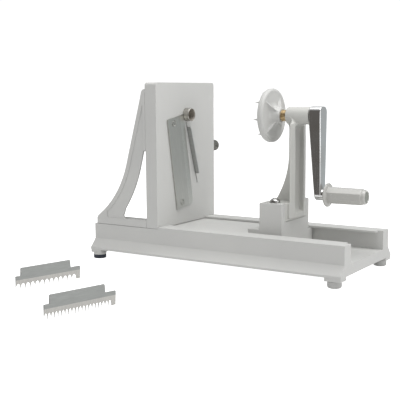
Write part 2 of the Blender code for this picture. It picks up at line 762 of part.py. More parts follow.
def knife_point(across, along, out=0.0):
    """A point on the knife's plane, from its middle."""
    return KNIFE_MIDDLE + KNIFE_ACROSS * across + KNIFE_UP * along + Vector((out, 0, 0))


def knife_screw_profile(spare):
    """A countersunk head, flush with the knife's face, on a plain shank."""
    top = KNIFE_THICKNESS + spare
    head = SCREW_HEAD_RADIUS + spare
    shank = SCREW_SHANK_RADIUS + spare
    neck = KNIFE_THICKNESS - SCREW_HEAD_DEPTH
    end = KNIFE_THICKNESS - SCREW_LENGTH - spare
    return [(0, top), (head, top), (head, KNIFE_THICKNESS - SCREW_HEAD_RIM),
            (shank, neck), (shank, end), (0, end)]


def knife_screw_shape(name, end, spare):
    spot = knife_point(KNIFE_SCREW_ACROSS, end * KNIFE_SCREW_ALONG)
    return turned(name, knife_screw_profile(spare), ALONG_X, spot, SMALL_STEPS)


def knife_screw_holes():
    return [knife_screw_shape("knife_screw_hole", end, GAP) for end in (-1, 1)]


def make_cutting_plate():
    top = SEATED_Z + PLATE_HEIGHT
    outline = [(-PLATE_HALF, SEATED_Z), (PLATE_HALF, SEATED_Z)]
    outline += arc((PLATE_HALF - PLATE_CORNER, top - PLATE_CORNER), PLATE_CORNER, 0, pi / 2, 5)
    outline += arc((PLATE_CORNER - PLATE_HALF, top - PLATE_CORNER), PLATE_CORNER, pi / 2, pi, 5)
    plate = slab("cutting_plate", outline, PLATE_THICKNESS, ALONG_X, (PLATE_MIDDLE_X, 0, 0))
    round_edges(plate, PLATE_EDGE, 2)

    through = PLATE_THICKNESS * 2
    slot_middle = SLOT_LOW + SLOT_UP * (SLOT_LENGTH / 2) + Vector((PLATE_MIDDLE_X, 0, 0))
    slot_turn = Matrix.Rotation(SLOT_TILT, 3, 'X')
    cut(plate, turned_box("comb_slot", (through, SLOT_WIDTH, SLOT_LENGTH), slot_turn, slot_middle))

    throat_across = KNIFE_WIDTH / 2 + THROAT_PAST_EDGE - THROAT_WIDTH / 2
    throat_middle = knife_point(throat_across, -THROAT_DROP)
    knife_turn = Matrix.Rotation(KNIFE_TILT, 3, 'X')
    cut(plate, turned_box("throat", (through * 2, THROAT_WIDTH, THROAT_LENGTH), knife_turn, throat_middle))

    cut(plate, bore("tube_hole", TUBE_RADIUS + GAP, PLATE_BACK_X - CLEAR, PLATE_THICKNESS + 2 * CLEAR,
                   ALONG_X, (0, 0, SHAFT_Z)))
    cut(plate, *knife_screw_holes())

    slot_y = slot_centre_y(CLAMP_Z)
    cut(plate, bore("clamp_bore", CLAMP_ROD_RADIUS + GAP, slot_y, PLATE_HALF - slot_y + CLEAR,
                   ALONG_Y, (CLAMP_X, 0, CLAMP_Z), SMALL_STEPS))
    cut(plate, rod("insert_bore", INSERT_RADIUS + GAP, PLATE_HALF - INSERT_LENGTH - GAP,
                   INSERT_LENGTH + CLEAR, ALONG_Y, (CLAMP_X, 0, CLAMP_Z), COARSE_STEPS))
    for side in (-1, 1):
        cut(plate, screw_socket((PLATE_MIDDLE_X, side * PLATE_SCREW_OUT)))
    finish(plate, WHITE_PLASTIC)


def make_knife():
    half = KNIFE_WIDTH / 2
    section = [(-half, 0), (half, 0), (half, KNIFE_EDGE), (half - KNIFE_BEVEL, KNIFE_THICKNESS),
               (-half, KNIFE_THICKNESS)]
    turn = Matrix((KNIFE_ACROSS, (1, 0, 0), -KNIFE_UP)).transposed()
    knife = slab("straight_knife", section, KNIFE_LENGTH, turn, KNIFE_MIDDLE)
    cut(knife, bore("knife_notch", TUBE_RADIUS + KNIFE_TUBE_CLEARANCE, PLATE_FRONT_X - CLEAR, 2 * CLEAR,
                   ALONG_X, (0, 0, SHAFT_Z)))
    cut(knife, *knife_screw_holes())
    finish(knife, STEEL)


def make_knife_screws():
    for name, end in (("lower_knife_screw", -1), ("upper_knife_screw", 1)):
        screw = knife_screw_shape(name, end, 0)
        drive_at = knife_point(KNIFE_SCREW_ACROSS, end * KNIFE_SCREW_ALONG, KNIFE_THICKNESS)
        size = (2 * SCREW_DRIVE_DEPTH, SCREW_DRIVE_WIDTH, 3 * SCREW_HEAD_RADIUS)
        cut(screw, turned_box("drive_slot", size, Matrix.Rotation(radians(30), 3, 'X'), drive_at))
        finish(screw, STEEL)


def make_coring_tube():
    front = PLATE_FRONT_X + TUBE_PROUD
    back = PLATE_BACK_X - GAP
    collar_back = back - TUBE_COLLAR_LENGTH
    profile = [(TUBE_BORE + TUBE_LIP, front), (TUBE_RADIUS, front - TUBE_EDGE), (TUBE_RADIUS, back),
               (TUBE_COLLAR_RADIUS, back), (TUBE_COLLAR_RADIUS, collar_back), (TUBE_BORE, collar_back),
               (TUBE_BORE, front - TUBE_EDGE)]
    coring = turned("coring_tube", profile, ALONG_X, (0, 0, SHAFT_Z), ring=True)
    finish(coring, STEEL)


def comb_outline(teeth):
    """Spikes with scallops between them, under a strip and a tab; the length is centred."""
    left = -COMB_LENGTH / 2
    right = COMB_LENGTH / 2
    toothed = COMB_LENGTH - COMB_BLOCK
    pitch = toothed / teeth
    strip_top = TOOTH_LENGTH + STRIP_WIDTH
    tab_left = left + TAB_OFFSET
    tab_right = tab_left + TAB_LENGTH
    outline = [(right, 0), (right, strip_top), (tab_right + TAB_SLANT, strip_top),
               (tab_right, strip_top + TAB_WIDTH), (tab_left, strip_top + TAB_WIDTH),
               (tab_left - TAB_SLANT, strip_top), (left, strip_top), (left, 0)]
    for tooth in range(teeth):
        tip = left + pitch * tooth
        middle = tip + (pitch + TOOTH_TIP) / 2
        reach = (pitch - TOOTH_TIP) / 2
        for step in range(SCALLOP_STEPS + 1):
            angle = pi - pi * step / SCALLOP_STEPS
            outline.append((middle + reach * cos(angle), TOOTH_LENGTH * sin(angle)))
    return outline


def comb(name, teeth, rotation, at):
    piece = slab(name, comb_outline(teeth), COMB_THICKNESS, rotation, at)
    finish(piece, STEEL)
    return piece


def make_fitted_comb():
    """It stands in the plate's slot with its tab out and its teeth drawn in."""
    middle = SLOT_LOW + SLOT_UP * (SLOT_LENGTH / 2)
    middle.x = PLATE_FRONT_X + FITTED_COMB_PROUD - COMB_HEIGHT
    turn = Matrix((-SLOT_UP, (1, 0, 0), -SLOT_ACROSS)).transposed()
    return comb("fitted_comb", COARSE_TEETH, turn, middle)


def loose_comb(name, teeth, spot):
    """It stands on its teeth on the table."""
    heading = Vector((cos(LOOSE_COMB_HEADING), sin(LOOSE_COMB_HEADING), 0))
    facing = Vector((sin(LOOSE_COMB_HEADING), -cos(LOOSE_COMB_HEADING), 0))
    turn = Matrix((heading, (0, 0, 1), facing)).transposed()
    return comb(name, teeth, turn, (*spot, 0))


def slot_centre_y(height):
    """How far across the comb slot's middle lies at a height."""
    return SLOT_LOW.y - (height - SLOT_LOW.z) * tan(SLOT_TILT)


def make_clamp_insert():
    start = PLATE_HALF - INSERT_LENGTH
    insert = tube("clamp_insert", INSERT_RADIUS, CLAMP_ROD_RADIUS + GAP, start, INSERT_LENGTH,
                  ALONG_Y, (CLAMP_X, 0, CLAMP_Z), SMALL_STEPS)
    finish(insert, BRASS)


def clamp_tip_y():
    """Where the rod's flat tip stops, just short of the comb's slanted flank."""
    flank = COMB_THICKNESS / 2 / cos(SLOT_TILT) + CLAMP_ROD_RADIUS * tan(SLOT_TILT)
    return slot_centre_y(CLAMP_Z) + flank + GAP


def make_clamp_rod():
    start = clamp_tip_y()
    length = PLATE_HALF + GAP + CLAMP_THREAD_DEPTH - start
    piece = rod("clamp_rod", CLAMP_ROD_RADIUS, start, length, ALONG_Y, (CLAMP_X, 0, CLAMP_Z), SMALL_STEPS)
    finish(piece, STEEL)
    return piece


def make_clamp_knob():
    """A fluted knob with a blind hole for the rod's end."""
    outline = []
    for index in range(2 * CLAMP_KNOB_FLUTES):
        angle = pi * index / CLAMP_KNOB_FLUTES
        radius = CLAMP_KNOB_RADIUS - CLAMP_FLUTE_DEPTH * (index % 2)
        outline.append((radius * cos(angle), radius * sin(angle)))
    start = PLATE_HALF + GAP
    middle = start + CLAMP_KNOB_LENGTH / 2
    knob = slab("clamp_knob", outline, CLAMP_KNOB_LENGTH, ALONG_Y, (CLAMP_X, middle, CLAMP_Z))
    round_edges(knob, CLAMP_KNOB_EDGE, 1, 60)
    cut(knob, bore("knob_hole", CLAMP_ROD_RADIUS + GAP, start - PAST, PAST + CLAMP_THREAD_DEPTH + GAP,
                  ALONG_Y, (CLAMP_X, 0, CLAMP_Z), SMALL_STEPS))
    finish(knob, DARK_STEEL)
    return knob


def make_slide_board():
    """A hollow board with a plinth and a block that holds the column's foot."""
    half = TROUGH_HALF - BOARD_SIDE_CLEARANCE
    left = BOARD_END_X - BOARD_LENGTH
    corner = BOARD_CORNER
    outline = [(left, -half)]
    outline += arc((BOARD_END_X - corner, corner - half), corner, -pi / 2, 0, 4)
    outline += arc((BOARD_END_X - corner, half - corner), corner, 0, pi / 2, 4)
    outline.append((left, half))
    middle_z = BOARD_BASE_Z + BOARD_THICKNESS / 2
    board = slab("slide_board", outline, BOARD_THICKNESS, ALONG_Z, (0, 0, middle_z))
    round_edges(board, BOARD_EDGE)
    cut(board, box("board_hollow", (left + BOARD_SHELL, BOARD_SHELL - half, BOARD_BASE_Z - PAST),
                   (BOARD_END_X - BOARD_SHELL, half - BOARD_SHELL, BOARD_TOP_Z - BOARD_SHELL)))
    bury = BOARD_TOP_Z - BOARD_SHELL / 2
    block_end = BOARD_END_X - BLOCK_SETBACK
    plinth_top = BOARD_TOP_Z + PLINTH_RISE
    step = [(BOARD_END_X - PLINTH_LENGTH, bury), (block_end, bury), (block_end, BLOCK_TOP_Z),
            (BOARD_END_X - BLOCK_LENGTH, BLOCK_TOP_Z), (BOARD_END_X - BLOCK_LENGTH, plinth_top),
            (BOARD_END_X - PLINTH_LENGTH, plinth_top)]
    block = slab("block", step, BLOCK_WIDTH, ALONG_MINUS_Y, (0, 0, 0))
    round_edges(block, BOARD_EDGE)
    join(board, block)
    pocket_half = POCKET_WIDTH / 2
    cut(board, box("foot_pocket", (BOARD_END_X - POCKET_LENGTH, -pocket_half, POCKET_FLOOR_Z),
                   (BOARD_END_X + CLEAR, pocket_half, BLOCK_TOP_Z + CLEAR)))
    cut(board, *dome_shank_holes())
    finish(board, WHITE_PLASTIC)
    return board


def dome_spots():
    return [(BOARD_END_X - DOME_FROM_END, side * DOME_SPREAD) for side in (-1, 1)]


def dome_shank_holes():
    start = BLOCK_TOP_Z - DOME_SHANK_LENGTH - GAP
    return [bore("dome_hole", DOME_SHANK_RADIUS + GAP, start, DOME_SHANK_LENGTH + CLEAR, ALONG_Z,
                (*spot, 0), SMALL_STEPS) for spot in dome_spots()]


def make_column():
    """Foot, stem, gusset and bearing housing in one casting."""
    foot_half = POCKET_WIDTH / 2 - GAP
    back = BOARD_END_X - POCKET_LENGTH + GAP
    column = box("column", (back, -foot_half, POCKET_FLOOR_Z + GAP), (BOARD_END_X, foot_half, BLOCK_TOP_Z))
    round_edges(column, FOOT_EDGE)

    half = STEM_WIDTH / 2
    back_half = STEM_BACK_WIDTH / 2
    stem_back = STEM_FRONT_X - STEM_DEPTH
    flat = STEM_FLAT / 2
    shoulder = STEM_FRONT_X - STEM_FALL
    section = [(STEM_FRONT_X, -flat), (STEM_FRONT_X, flat), (shoulder, half),
               (stem_back, back_half), (stem_back, -back_half), (shoulder, -half)]
    stem_top = SHAFT_Z - HOUSING_RADIUS + STEM_SINK
    stem = slab("stem", section, stem_top - STEM_FOOT_Z, ALONG_Z, (0, 0, (stem_top + STEM_FOOT_Z) / 2))
    round_edges(stem, STEM_EDGE, 1, 30)
    join(column, stem)

    gusset_top = STEM_FRONT_X - GUSSET_TOP_SETBACK
    gusset_foot = STEM_FRONT_X - GUSSET_FOOT_SETBACK
    bend_z = BLOCK_TOP_Z + GUSSET_BEND_RISE
    inside_x = stem_back + 2 * SINK
    web_foot_z = BLOCK_TOP_Z - 2 * SINK
    web = [(inside_x, stem_top), (inside_x, web_foot_z), (gusset_foot, web_foot_z)]
    sweep = arc_leaving((gusset_top, bend_z), (gusset_foot, BLOCK_TOP_Z), radians(-90), 8)
    web += list(reversed(sweep))
    web.append((gusset_top, stem_top - HOUSING_FILLET))
    web.append((gusset_top - HOUSING_FILLET * CORNER_SHARE, stem_top - HOUSING_FILLET * CORNER_SHARE))
    web.append((gusset_top - HOUSING_FILLET, stem_top))
    gusset = slab("gusset", web, GUSSET_THICKNESS, ALONG_MINUS_Y, (0, 0, 0))
    join(column, gusset)

    join(column, rod("housing", HOUSING_RADIUS, HOUSING_BACK_X, HOUSING_LENGTH, ALONG_X, (0, 0, SHAFT_Z)))

    channel_low = STEM_FOOT_Z + CHANNEL_START_RISE
    channel_back = STEM_FRONT_X - CHANNEL_DEPTH
    channel_top = SHAFT_Z - HOUSING_RADIUS - CHANNEL_TOP_GAP
    channel_side = [(STEM_FRONT_X + PAST, channel_top), (channel_back, channel_top),
                    (channel_back, channel_low + CHANNEL_RAMP), (STEM_FRONT_X, channel_low),
                    (STEM_FRONT_X + PAST, channel_low)]
    cut(column, slab("channel", channel_side, CHANNEL_WIDTH, ALONG_MINUS_Y, (0, 0, 0)))
    cut(column, bore("housing_bore", BUSH_RADIUS + GAP, HOUSING_BACK_X - CLEAR, HOUSING_LENGTH + 2 * CLEAR,
                    ALONG_X, (0, 0, SHAFT_Z)))
    cut(column, *dome_shank_holes())
    finish(column, WHITE_PLASTIC)
    return column


def make_column_screws():
    """Two dome-headed screws down through the foot into the block."""
    base = BLOCK_TOP_Z + GAP
    top = base + DOME_HEIGHT
    dome = [(DOME_RADIUS * sin(angle), base + DOME_RIM + (DOME_HEIGHT - DOME_RIM) * cos(angle))
            for angle in [radians(step * 18) for step in range(2, 6)]]
    profile = [(0, top - DOME_SOCKET_DEPTH), (DOME_SOCKET_RADIUS, top - DOME_SOCKET_DEPTH),
               (DOME_SOCKET_RADIUS, top - DOME_FLAT_DROP)]
    profile += dome
    shank_end = BLOCK_TOP_Z - DOME_SHANK_LENGTH
    profile += [(DOME_RADIUS, base), (DOME_SHANK_RADIUS, base), (DOME_SHANK_RADIUS, shank_end),
                (0, shank_end)]
    screws = []
    for name, spot in zip(("near_column_screw", "far_column_screw"), dome_spots()):
        screw = turned(name, profile, ALONG_Z, (*spot, 0), COARSE_STEPS)
        finish(screw, STEEL)
        screws.append(screw)
    return screws


def make_bushes():
    bore = SHAFT_RADIUS + GAP
    front = tube("front_bush", BUSH_RADIUS, bore, FRONT_BUSH_X, FRONT_BUSH_PROUD + BUSH_INSIDE,
                 ALONG_X, (0, 0, SHAFT_Z))
    finish(front, BRASS)
    rear = tube("rear_bush", BUSH_RADIUS, bore, HOUSING_FRONT_X - BUSH_INSIDE,
                BUSH_INSIDE + REAR_BUSH_PROUD, ALONG_X, (0, 0, SHAFT_Z))
    finish(rear, BRASS)
    return [front, rear]


def make_shaft():
    start = HUB_X - DISC_BORE_DEPTH + GAP
    length = CRANK_BACK_X + CRANK_SOCKET_DEPTH - GAP - start
    shaft = rod("crank_shaft", SHAFT_RADIUS, start, length, ALONG_X, (0, 0, SHAFT_Z))
    finish(shaft, STEEL)
    return shaft


def make_prong_disc():
    """A disc with a hub, ribs behind and prongs in front, in one moulding."""
    rim = DISC_RIM
    knee = rim * CORNER_SHARE
    profile = [(0, HUB_X), (HUB_SMALL_RADIUS, HUB_X), (HUB_LARGE_RADIUS, DISC_BACK_X),
               (DISC_RADIUS - rim, DISC_BACK_X), (DISC_RADIUS - knee, DISC_BACK_X - knee),
               (DISC_RADIUS, DISC_BACK_X - rim), (DISC_RADIUS, DISC_FRONT_X + rim),
               (DISC_RADIUS - knee, DISC_FRONT_X + knee), (DISC_RADIUS - rim, DISC_FRONT_X),
               (0, DISC_FRONT_X)]
    disc = turned("prong_disc", profile, ALONG_X, (0, 0, SHAFT_Z), FINE_STEPS)
    rib_top = HUB_X - RIB_BELOW_HUB
    for index in range(RIB_COUNT):
        angle = RIB_PHASE + 2 * pi * index / RIB_COUNT
        outward = Vector((0, -cos(angle), sin(angle)))
        turn = Matrix(((1, 0, 0), outward, Vector((1, 0, 0)).cross(outward))).transposed()
        web = [(DISC_BACK_X - SINK, RIB_START), (DISC_BACK_X - SINK, RIB_REACH), (DISC_BACK_X, RIB_REACH),
               (rib_top, HUB_SMALL_RADIUS - RIB_INSET), (rib_top, RIB_START)]
        join(disc, slab("rib", web, RIB_THICKNESS, turn, (0, 0, SHAFT_Z)))
    for index in range(PRONG_COUNT):
        angle = PRONG_PHASE + 2 * pi * index / PRONG_COUNT
        spot = (0, -PRONG_CIRCLE * cos(angle), SHAFT_Z + PRONG_CIRCLE * sin(angle))
        tip = DISC_FRONT_X - PRONG_LENGTH
        root = DISC_FRONT_X + SINK
        cone = [(0, root), (PRONG_RADIUS, root), (PRONG_TIP_RADIUS, tip), (0, tip)]
        join(disc, turned("prong", cone, ALONG_X, spot, 10))
    cut(disc, bore("disc_bore", SHAFT_RADIUS + GAP, HUB_X - DISC_BORE_DEPTH, DISC_BORE_DEPTH + CLEAR,
                  ALONG_X, (0, 0, SHAFT_Z)))
    finish(disc, WHITE_PLASTIC)
    return disc


def make_crank_arm():
    """A tapering arm, square-shouldered at the shaft and thin at the handle, with a boss for the axle."""
    side_angle = asin((CRANK_TOP_HALF - CRANK_LOW_RADIUS) / CRANK_THROW)
    corner_y = CRANK_TOP_HALF - CRANK_TOP_CORNER
    corner_z = SHAFT_Z + corner_y
    outline = arc((corner_y, corner_z), CRANK_TOP_CORNER, 0, pi / 2, 5)
    outline += arc((-corner_y, corner_z), CRANK_TOP_CORNER, pi / 2, pi, 5)
    outline += arc((0, HANDLE_Z), CRANK_LOW_RADIUS, pi + side_angle, 2 * pi - side_angle, 10)
    middle = (CRANK_BACK_X + CRANK_FRONT_X) / 2
    arm = slab("crank_arm", outline, CRANK_TOP_THICKNESS, ALONG_X, (middle, 0, 0))
    round_edges(arm, CRANK_EDGE, 2)
    low_back = CRANK_FRONT_X - CRANK_LOW_THICKNESS
    slope = (low_back - CRANK_BACK_X) / CRANK_THROW
    over = 2 * CLEAR
    top_z = SHAFT_Z - CRANK_TOP_HALF / 2
    low_z = HANDLE_Z - over
    wedge = [(CRANK_BACK_X, top_z), (CRANK_BACK_X - over, top_z), (CRANK_BACK_X - over, low_z),
             (CRANK_BACK_X + slope * (top_z - low_z), low_z)]
    cut(arm, slab("arm_wedge", wedge, 4 * CRANK_TOP_HALF, ALONG_MINUS_Y, (0, 0, 0)))
    boss_start = CRANK_FRONT_X - CRANK_LOW_THICKNESS / 2
    join(arm, rod("boss", CRANK_BOSS_RADIUS, boss_start, BOSS_END_X - boss_start, ALONG_X,
                  (0, 0, HANDLE_Z)))
    cut(arm, bore("shaft_socket", SHAFT_RADIUS + GAP, CRANK_BACK_X - CLEAR, CRANK_SOCKET_DEPTH + CLEAR,
                 ALONG_X, (0, 0, SHAFT_Z)))
    cut(arm, bore("axle_socket", AXLE_RADIUS + GAP, AXLE_START_X - GAP, BOSS_END_X - AXLE_START_X + CLEAR,
                 ALONG_X, (0, 0, HANDLE_Z)))
    finish(arm, BRIGHT_STEEL)
    return arm


def make_handle_axle():
    axle = rod("handle_axle", AXLE_RADIUS, AXLE_START_X, AXLE_END_X - AXLE_START_X, ALONG_X,
               (0, 0, HANDLE_Z), COARSE_STEPS)
    cut(axle, bore("axle_thread", HANDLE_SCREW_SHANK + GAP, AXLE_END_X - HANDLE_SCREW_LENGTH - GAP,
                  HANDLE_SCREW_LENGTH + CLEAR, ALONG_X, (0, 0, HANDLE_Z), SMALL_STEPS))
    finish(axle, STEEL)
    return axle


def make_handle_washer():
    washer = tube("handle_washer", WASHER_RADIUS, HANDLE_SCREW_SHANK + GAP, AXLE_END_X + GAP,
                  WASHER_THICKNESS, ALONG_X, (0, 0, HANDLE_Z), COARSE_STEPS)
    finish(washer, STEEL)
    return washer


def make_handle_screw():
    seat = AXLE_END_X + GAP + WASHER_THICKNESS + GAP
    top = seat + HANDLE_SCREW_HEIGHT
    end = AXLE_END_X - HANDLE_SCREW_LENGTH
    edge = HANDLE_SCREW_EDGE
    profile = [(0, top), (HANDLE_SCREW_RADIUS - edge, top), (HANDLE_SCREW_RADIUS, top - edge),
               (HANDLE_SCREW_RADIUS, seat), (HANDLE_SCREW_SHANK, seat), (HANDLE_SCREW_SHANK, end), (0, end)]
    screw = turned("handle_screw", profile, ALONG_X, (0, 0, HANDLE_Z), SMALL_STEPS)
    finish(screw, STEEL)
    return screw


def make_grip():
    """An eight-sided grip behind a round collar, bored for the axle."""
    corner_radius = GRIP_FLATS / 2 / cos(pi / 8)
    outline = [(corner_radius * cos(pi / 8 + pi / 4 * index), corner_radius * sin(pi / 8 + pi / 4 * index))
               for index in range(8)]
    start = COLLAR_X + COLLAR_THICKNESS - SINK
    grip = slab("grip", outline, GRIP_END_X - start, ALONG_X, ((GRIP_END_X + start) / 2, 0, HANDLE_Z))
    for point in grip.data.vertices:
        if point.co.z > 0:
            point.co.x *= GRIP_END_SHARE
            point.co.y *= GRIP_END_SHARE
    round_edges(grip, GRIP_CORNER, 2)
    edge = COLLAR_EDGE
    front = COLLAR_X + COLLAR_THICKNESS
    collar = [(0, front), (COLLAR_RADIUS - edge, front), (COLLAR_RADIUS, front - edge),
              (COLLAR_RADIUS, COLLAR_X + edge), (COLLAR_RADIUS - edge, COLLAR_X), (0, COLLAR_X)]
    join(grip, turned("collar", collar, ALONG_X, (0, 0, HANDLE_Z), 36))
    cut(grip, bore("grip_bore", AXLE_RADIUS + GAP, COLLAR_X - CLEAR, GRIP_END_X - COLLAR_X + 2 * CLEAR,
                  ALONG_X, (0, 0, HANDLE_Z), COARSE_STEPS))
    cut(grip, bore("counterbore", COUNTERBORE_RADIUS, COUNTERBORE_X, COUNTERBORE_DEPTH + CLEAR, ALONG_X,
                  (0, 0, HANDLE_Z), COARSE_STEPS))
    finish(grip, WHITE_PLASTIC)
    return grip


def make_grip_cap():
    """A round cap with a plug that closes the counterbore."""
    start = GRIP_END_X + GAP
    end = start + CAP_THICKNESS
    plug = COUNTERBORE_RADIUS - GAP
    knee = CAP_EDGE * CORNER_SHARE
    profile = [(0, end), (CAP_RADIUS - CAP_EDGE, end), (CAP_RADIUS - knee, end - knee),
               (CAP_RADIUS, end - CAP_EDGE), (CAP_RADIUS, start), (plug, start),
               (plug, start - CAP_PLUG_DEPTH), (0, start - CAP_PLUG_DEPTH)]
    cap = turned("grip_cap", profile, ALONG_X, (0, 0, HANDLE_Z))
    finish(cap, GREY_PLASTIC)
    return cap


def set_offset():
    """How far the machine's centre lies from the centre of the whole set's footprint."""
    reach = COMB_LENGTH / 2 * sin(LOOSE_COMB_HEADING) + COMB_THICKNESS / 2 * cos(LOOSE_COMB_HEADING)
    near = min(COARSE_COMB_AT[1], FINE_COMB_AT[1]) - reach
    far = max(HALF_WIDTH + FLARE_REACH, PLATE_HALF + GAP + CLAMP_KNOB_LENGTH)
    return (0, -(near + far) / 2, 0)


def build():
    make_base_tray()
    make_feet()
    make_base_screws()
    make_cutting_plate()
    make_bracket("near_bracket", -1)
    make_bracket("far_bracket", 1)
    make_knife()
    make_knife_screws()
    make_coring_tube()
    make_clamp_insert()

    fitted = make_fitted_comb()
    hang(fitted, joint_empty("fitted_comb_slide", fitted.location))
    rod_joint = joint_empty("clamp_rod_slide", (CLAMP_X, PLATE_HALF, CLAMP_Z))
    hang(make_clamp_rod(), rod_joint)
    knob_joint = joint_empty("clamp_knob_turn", (CLAMP_X, PLATE_HALF, CLAMP_Z), rod_joint)
    hang(make_clamp_knob(), knob_joint)

    carriage = joint_empty("carriage_slide", (BOARD_END_X, 0, BOARD_BASE_Z))
    for piece in (make_slide_board(), make_column(), *make_column_screws(), *make_bushes()):
        hang(piece, carriage)
    crank = joint_empty("crank_turn", (HOUSING_FRONT_X, 0, SHAFT_Z), carriage)
    for piece in (make_shaft(), make_prong_disc(), make_crank_arm(), make_handle_axle(),
                  make_handle_washer(), make_handle_screw()):
        hang(piece, crank)
    handle = joint_empty("grip_spin", (COLLAR_X, 0, HANDLE_Z), crank)
    for piece in (make_grip(), make_grip_cap()):
        hang(piece, handle)

    for name, teeth, spot in (("coarse_comb", COARSE_TEETH, COARSE_COMB_AT),
                              ("fine_comb", FINE_TEETH, FINE_COMB_AT)):
        hang(loose_comb(name, teeth, spot), joint_empty(name + "_lift", (*spot, 0)))

    whole_set = joint_empty("whole_set", (0, 0, 0))
    for obj in list(PARTS.objects) + list(CUTTERS.objects):
        if obj.parent is None and obj != whole_set:
            obj.parent = whole_set
    whole_set.location = set_offset()
    bpy.context.view_layer.update()


clear_scene()
PARTS = new_collection("vegetable_slicer")
CUTTERS = new_collection("cutters")
build()
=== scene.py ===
import json
from math import cos, pi, radians, sin

import bmesh
import bpy
from mathutils import Matrix, Vector


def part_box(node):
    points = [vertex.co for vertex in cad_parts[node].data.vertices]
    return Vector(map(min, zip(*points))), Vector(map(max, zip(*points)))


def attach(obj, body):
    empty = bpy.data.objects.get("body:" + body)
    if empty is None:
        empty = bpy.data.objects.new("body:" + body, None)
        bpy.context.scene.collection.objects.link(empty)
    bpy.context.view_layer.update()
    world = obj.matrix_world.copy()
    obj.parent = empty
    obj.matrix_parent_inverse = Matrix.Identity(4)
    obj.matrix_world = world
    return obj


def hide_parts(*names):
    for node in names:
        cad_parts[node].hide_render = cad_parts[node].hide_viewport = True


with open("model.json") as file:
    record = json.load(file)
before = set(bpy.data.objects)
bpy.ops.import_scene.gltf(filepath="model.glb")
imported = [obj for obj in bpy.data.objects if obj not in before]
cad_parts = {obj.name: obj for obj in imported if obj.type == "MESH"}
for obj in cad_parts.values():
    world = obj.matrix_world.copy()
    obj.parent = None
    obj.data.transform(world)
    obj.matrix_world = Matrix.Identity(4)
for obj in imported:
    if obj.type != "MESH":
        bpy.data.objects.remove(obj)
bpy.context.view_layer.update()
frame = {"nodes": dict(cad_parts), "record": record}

# A node's body, and a millimetre in metres
BODY_OF = {node: body for body, nodes in frame["record"]["behaviour"]["bodies"].items() for node in nodes}
MM = 0.001


def span(node):
    """A node's lowest and highest corners, in millimetres."""
    low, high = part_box(node)
    return low / MM, high / MM


def middle_of(node):
    """The middle of a node's box, in millimetres."""
    low, high = span(node)
    return (low + high) / 2


def arc(centre, radius, start, end, steps):
    """Points along a circle, from one angle to another."""
    turns = [start + (end - start) * index / steps for index in range(steps + 1)]
    return [(centre[0] + radius * cos(turn), centre[1] + radius * sin(turn)) for turn in turns]


# The camera: where it stands and looks, its lens and sensor, and how near and far it sees
CAMERA_AT = (0.5359, -0.7880, 0.2189)
CAMERA_AZIMUTH = radians(32.86)
CAMERA_ELEVATION = radians(7.40)
CAMERA_ROLL = radians(-0.43)
CAMERA_LENS = 74.32
CAMERA_SENSOR = 36.0
CAMERA_NEAR = 0.01
CAMERA_FAR = 200.0

# The studio: its room and its paper floor, as strong as they light and as the camera sees them
WHITE = (1, 1, 1)
BLACK = (0, 0, 0)
ROOM_LIGHT = 0.41
ROOM_SEEN = 1.05
FLOOR_LIGHT = 0.31
FLOOR_SEEN = 1.0
FLOOR_SIZE = 60.0
FLOOR_COLOUR = (0.60, 0.60, 0.60)
SHEET_ROUGHNESS = 0.9

# Soft boxes: the point that they face, and each one's middle, width and power in watts
LIGHTS_FACE = (0, 0.13, 0.1)
LIGHTS = (
    ("key_box", (0.24, 0.1, 0.92), 0.7, 4.9),
    ("top_box", (-0.1, 0.15, 1.6), 1.2, 6.0),
    ("right_box", (1.4, 0.0, 0.30), 0.8, 4.0),
    ("left_box", (-0.7, -0.45, 0.35), 0.5, 0.8),
)

# Cards that only reflections see: what they face, and each one's middle, width, height and colour
CARDS_FACE = (0.1, 0.12)
CARDS = (
    ("dark_card", (-0.06, -0.26, 0.28), 0.80, 0.56, (0.125, 0.118, 0.110)),
    ("grey_card", (0.26, 0.56, 0.40), 1.30, 0.80, (0.45, 0.475, 0.48)),
)

# The shaft's and the handle's middles
SHAFT = middle_of("crank_shaft")
HANDLE = middle_of("handle_axle")

# How names begin on the two sides of the tray
SIDES = ("near_", "far_")

# The nodes that keep their solid's own shape, by finish, and those of them that have rounded edges
PLAIN_PIECES = (
    ("white_plastic", ("cutting_plate", "near_bracket", "far_bracket")),
    ("screw_steel", [side + kind for kind in ("front_bracket_screw", "rear_bracket_screw", "plate_screw")
                     for side in SIDES]),
    ("brass", ("clamp_insert",)),
    ("screw_steel", ("clamp_rod",)),
    ("white_plastic", ("slide_board",)),
    ("screw_steel", ("crank_shaft", "handle_axle", "handle_washer", "handle_screw")),
)
PLAIN_EDGES = {"clamp_rod": 0.1, "crank_shaft": 0.2}

# The ends that a turned piece's profile counts from, in points of (end, distance past it, radius)
LOW, HIGH = 0, 1

# Tray: its rounded edges, and the flare under its walls with its bow, where 1 is a straight slope
TRAY_EDGE = 0.5
FLARE_TOP = 26.0
FLARE_DROP = 11.2
FLARE_REACH = 10.0
FLARE_BOW = 1.1
FLARE_SLACK = 0.2
WALL_OUT = (span("base_tray")[1].y - span("base_tray")[0].y) / 2 - FLARE_REACH

# Feet: finish and lower rounding, the stud, the sole as (height, distance in from the rounding) with its
# dimple's middle, and the rubber ones' cup as (height, distance past the side)
FEET = {"rubber_foot": ("rubber", 1.2), "crank_end_foot": ("grey_plastic", 2.6)}
FOOT_TOP = 7.7
FOOT_CHAMFER = 0.4
FOOT_STUD = 3.0
FOOT_SOLE = ((0.0, 1.0), (0.5, 1.6))
FOOT_MIDDLE = (0.5, 1.0)
FOOT_CUP = ((8.1, 0.4), (5.7, 0.4), (5.3, 0.25), (5.2, 0.05), (8.1, 0.05))

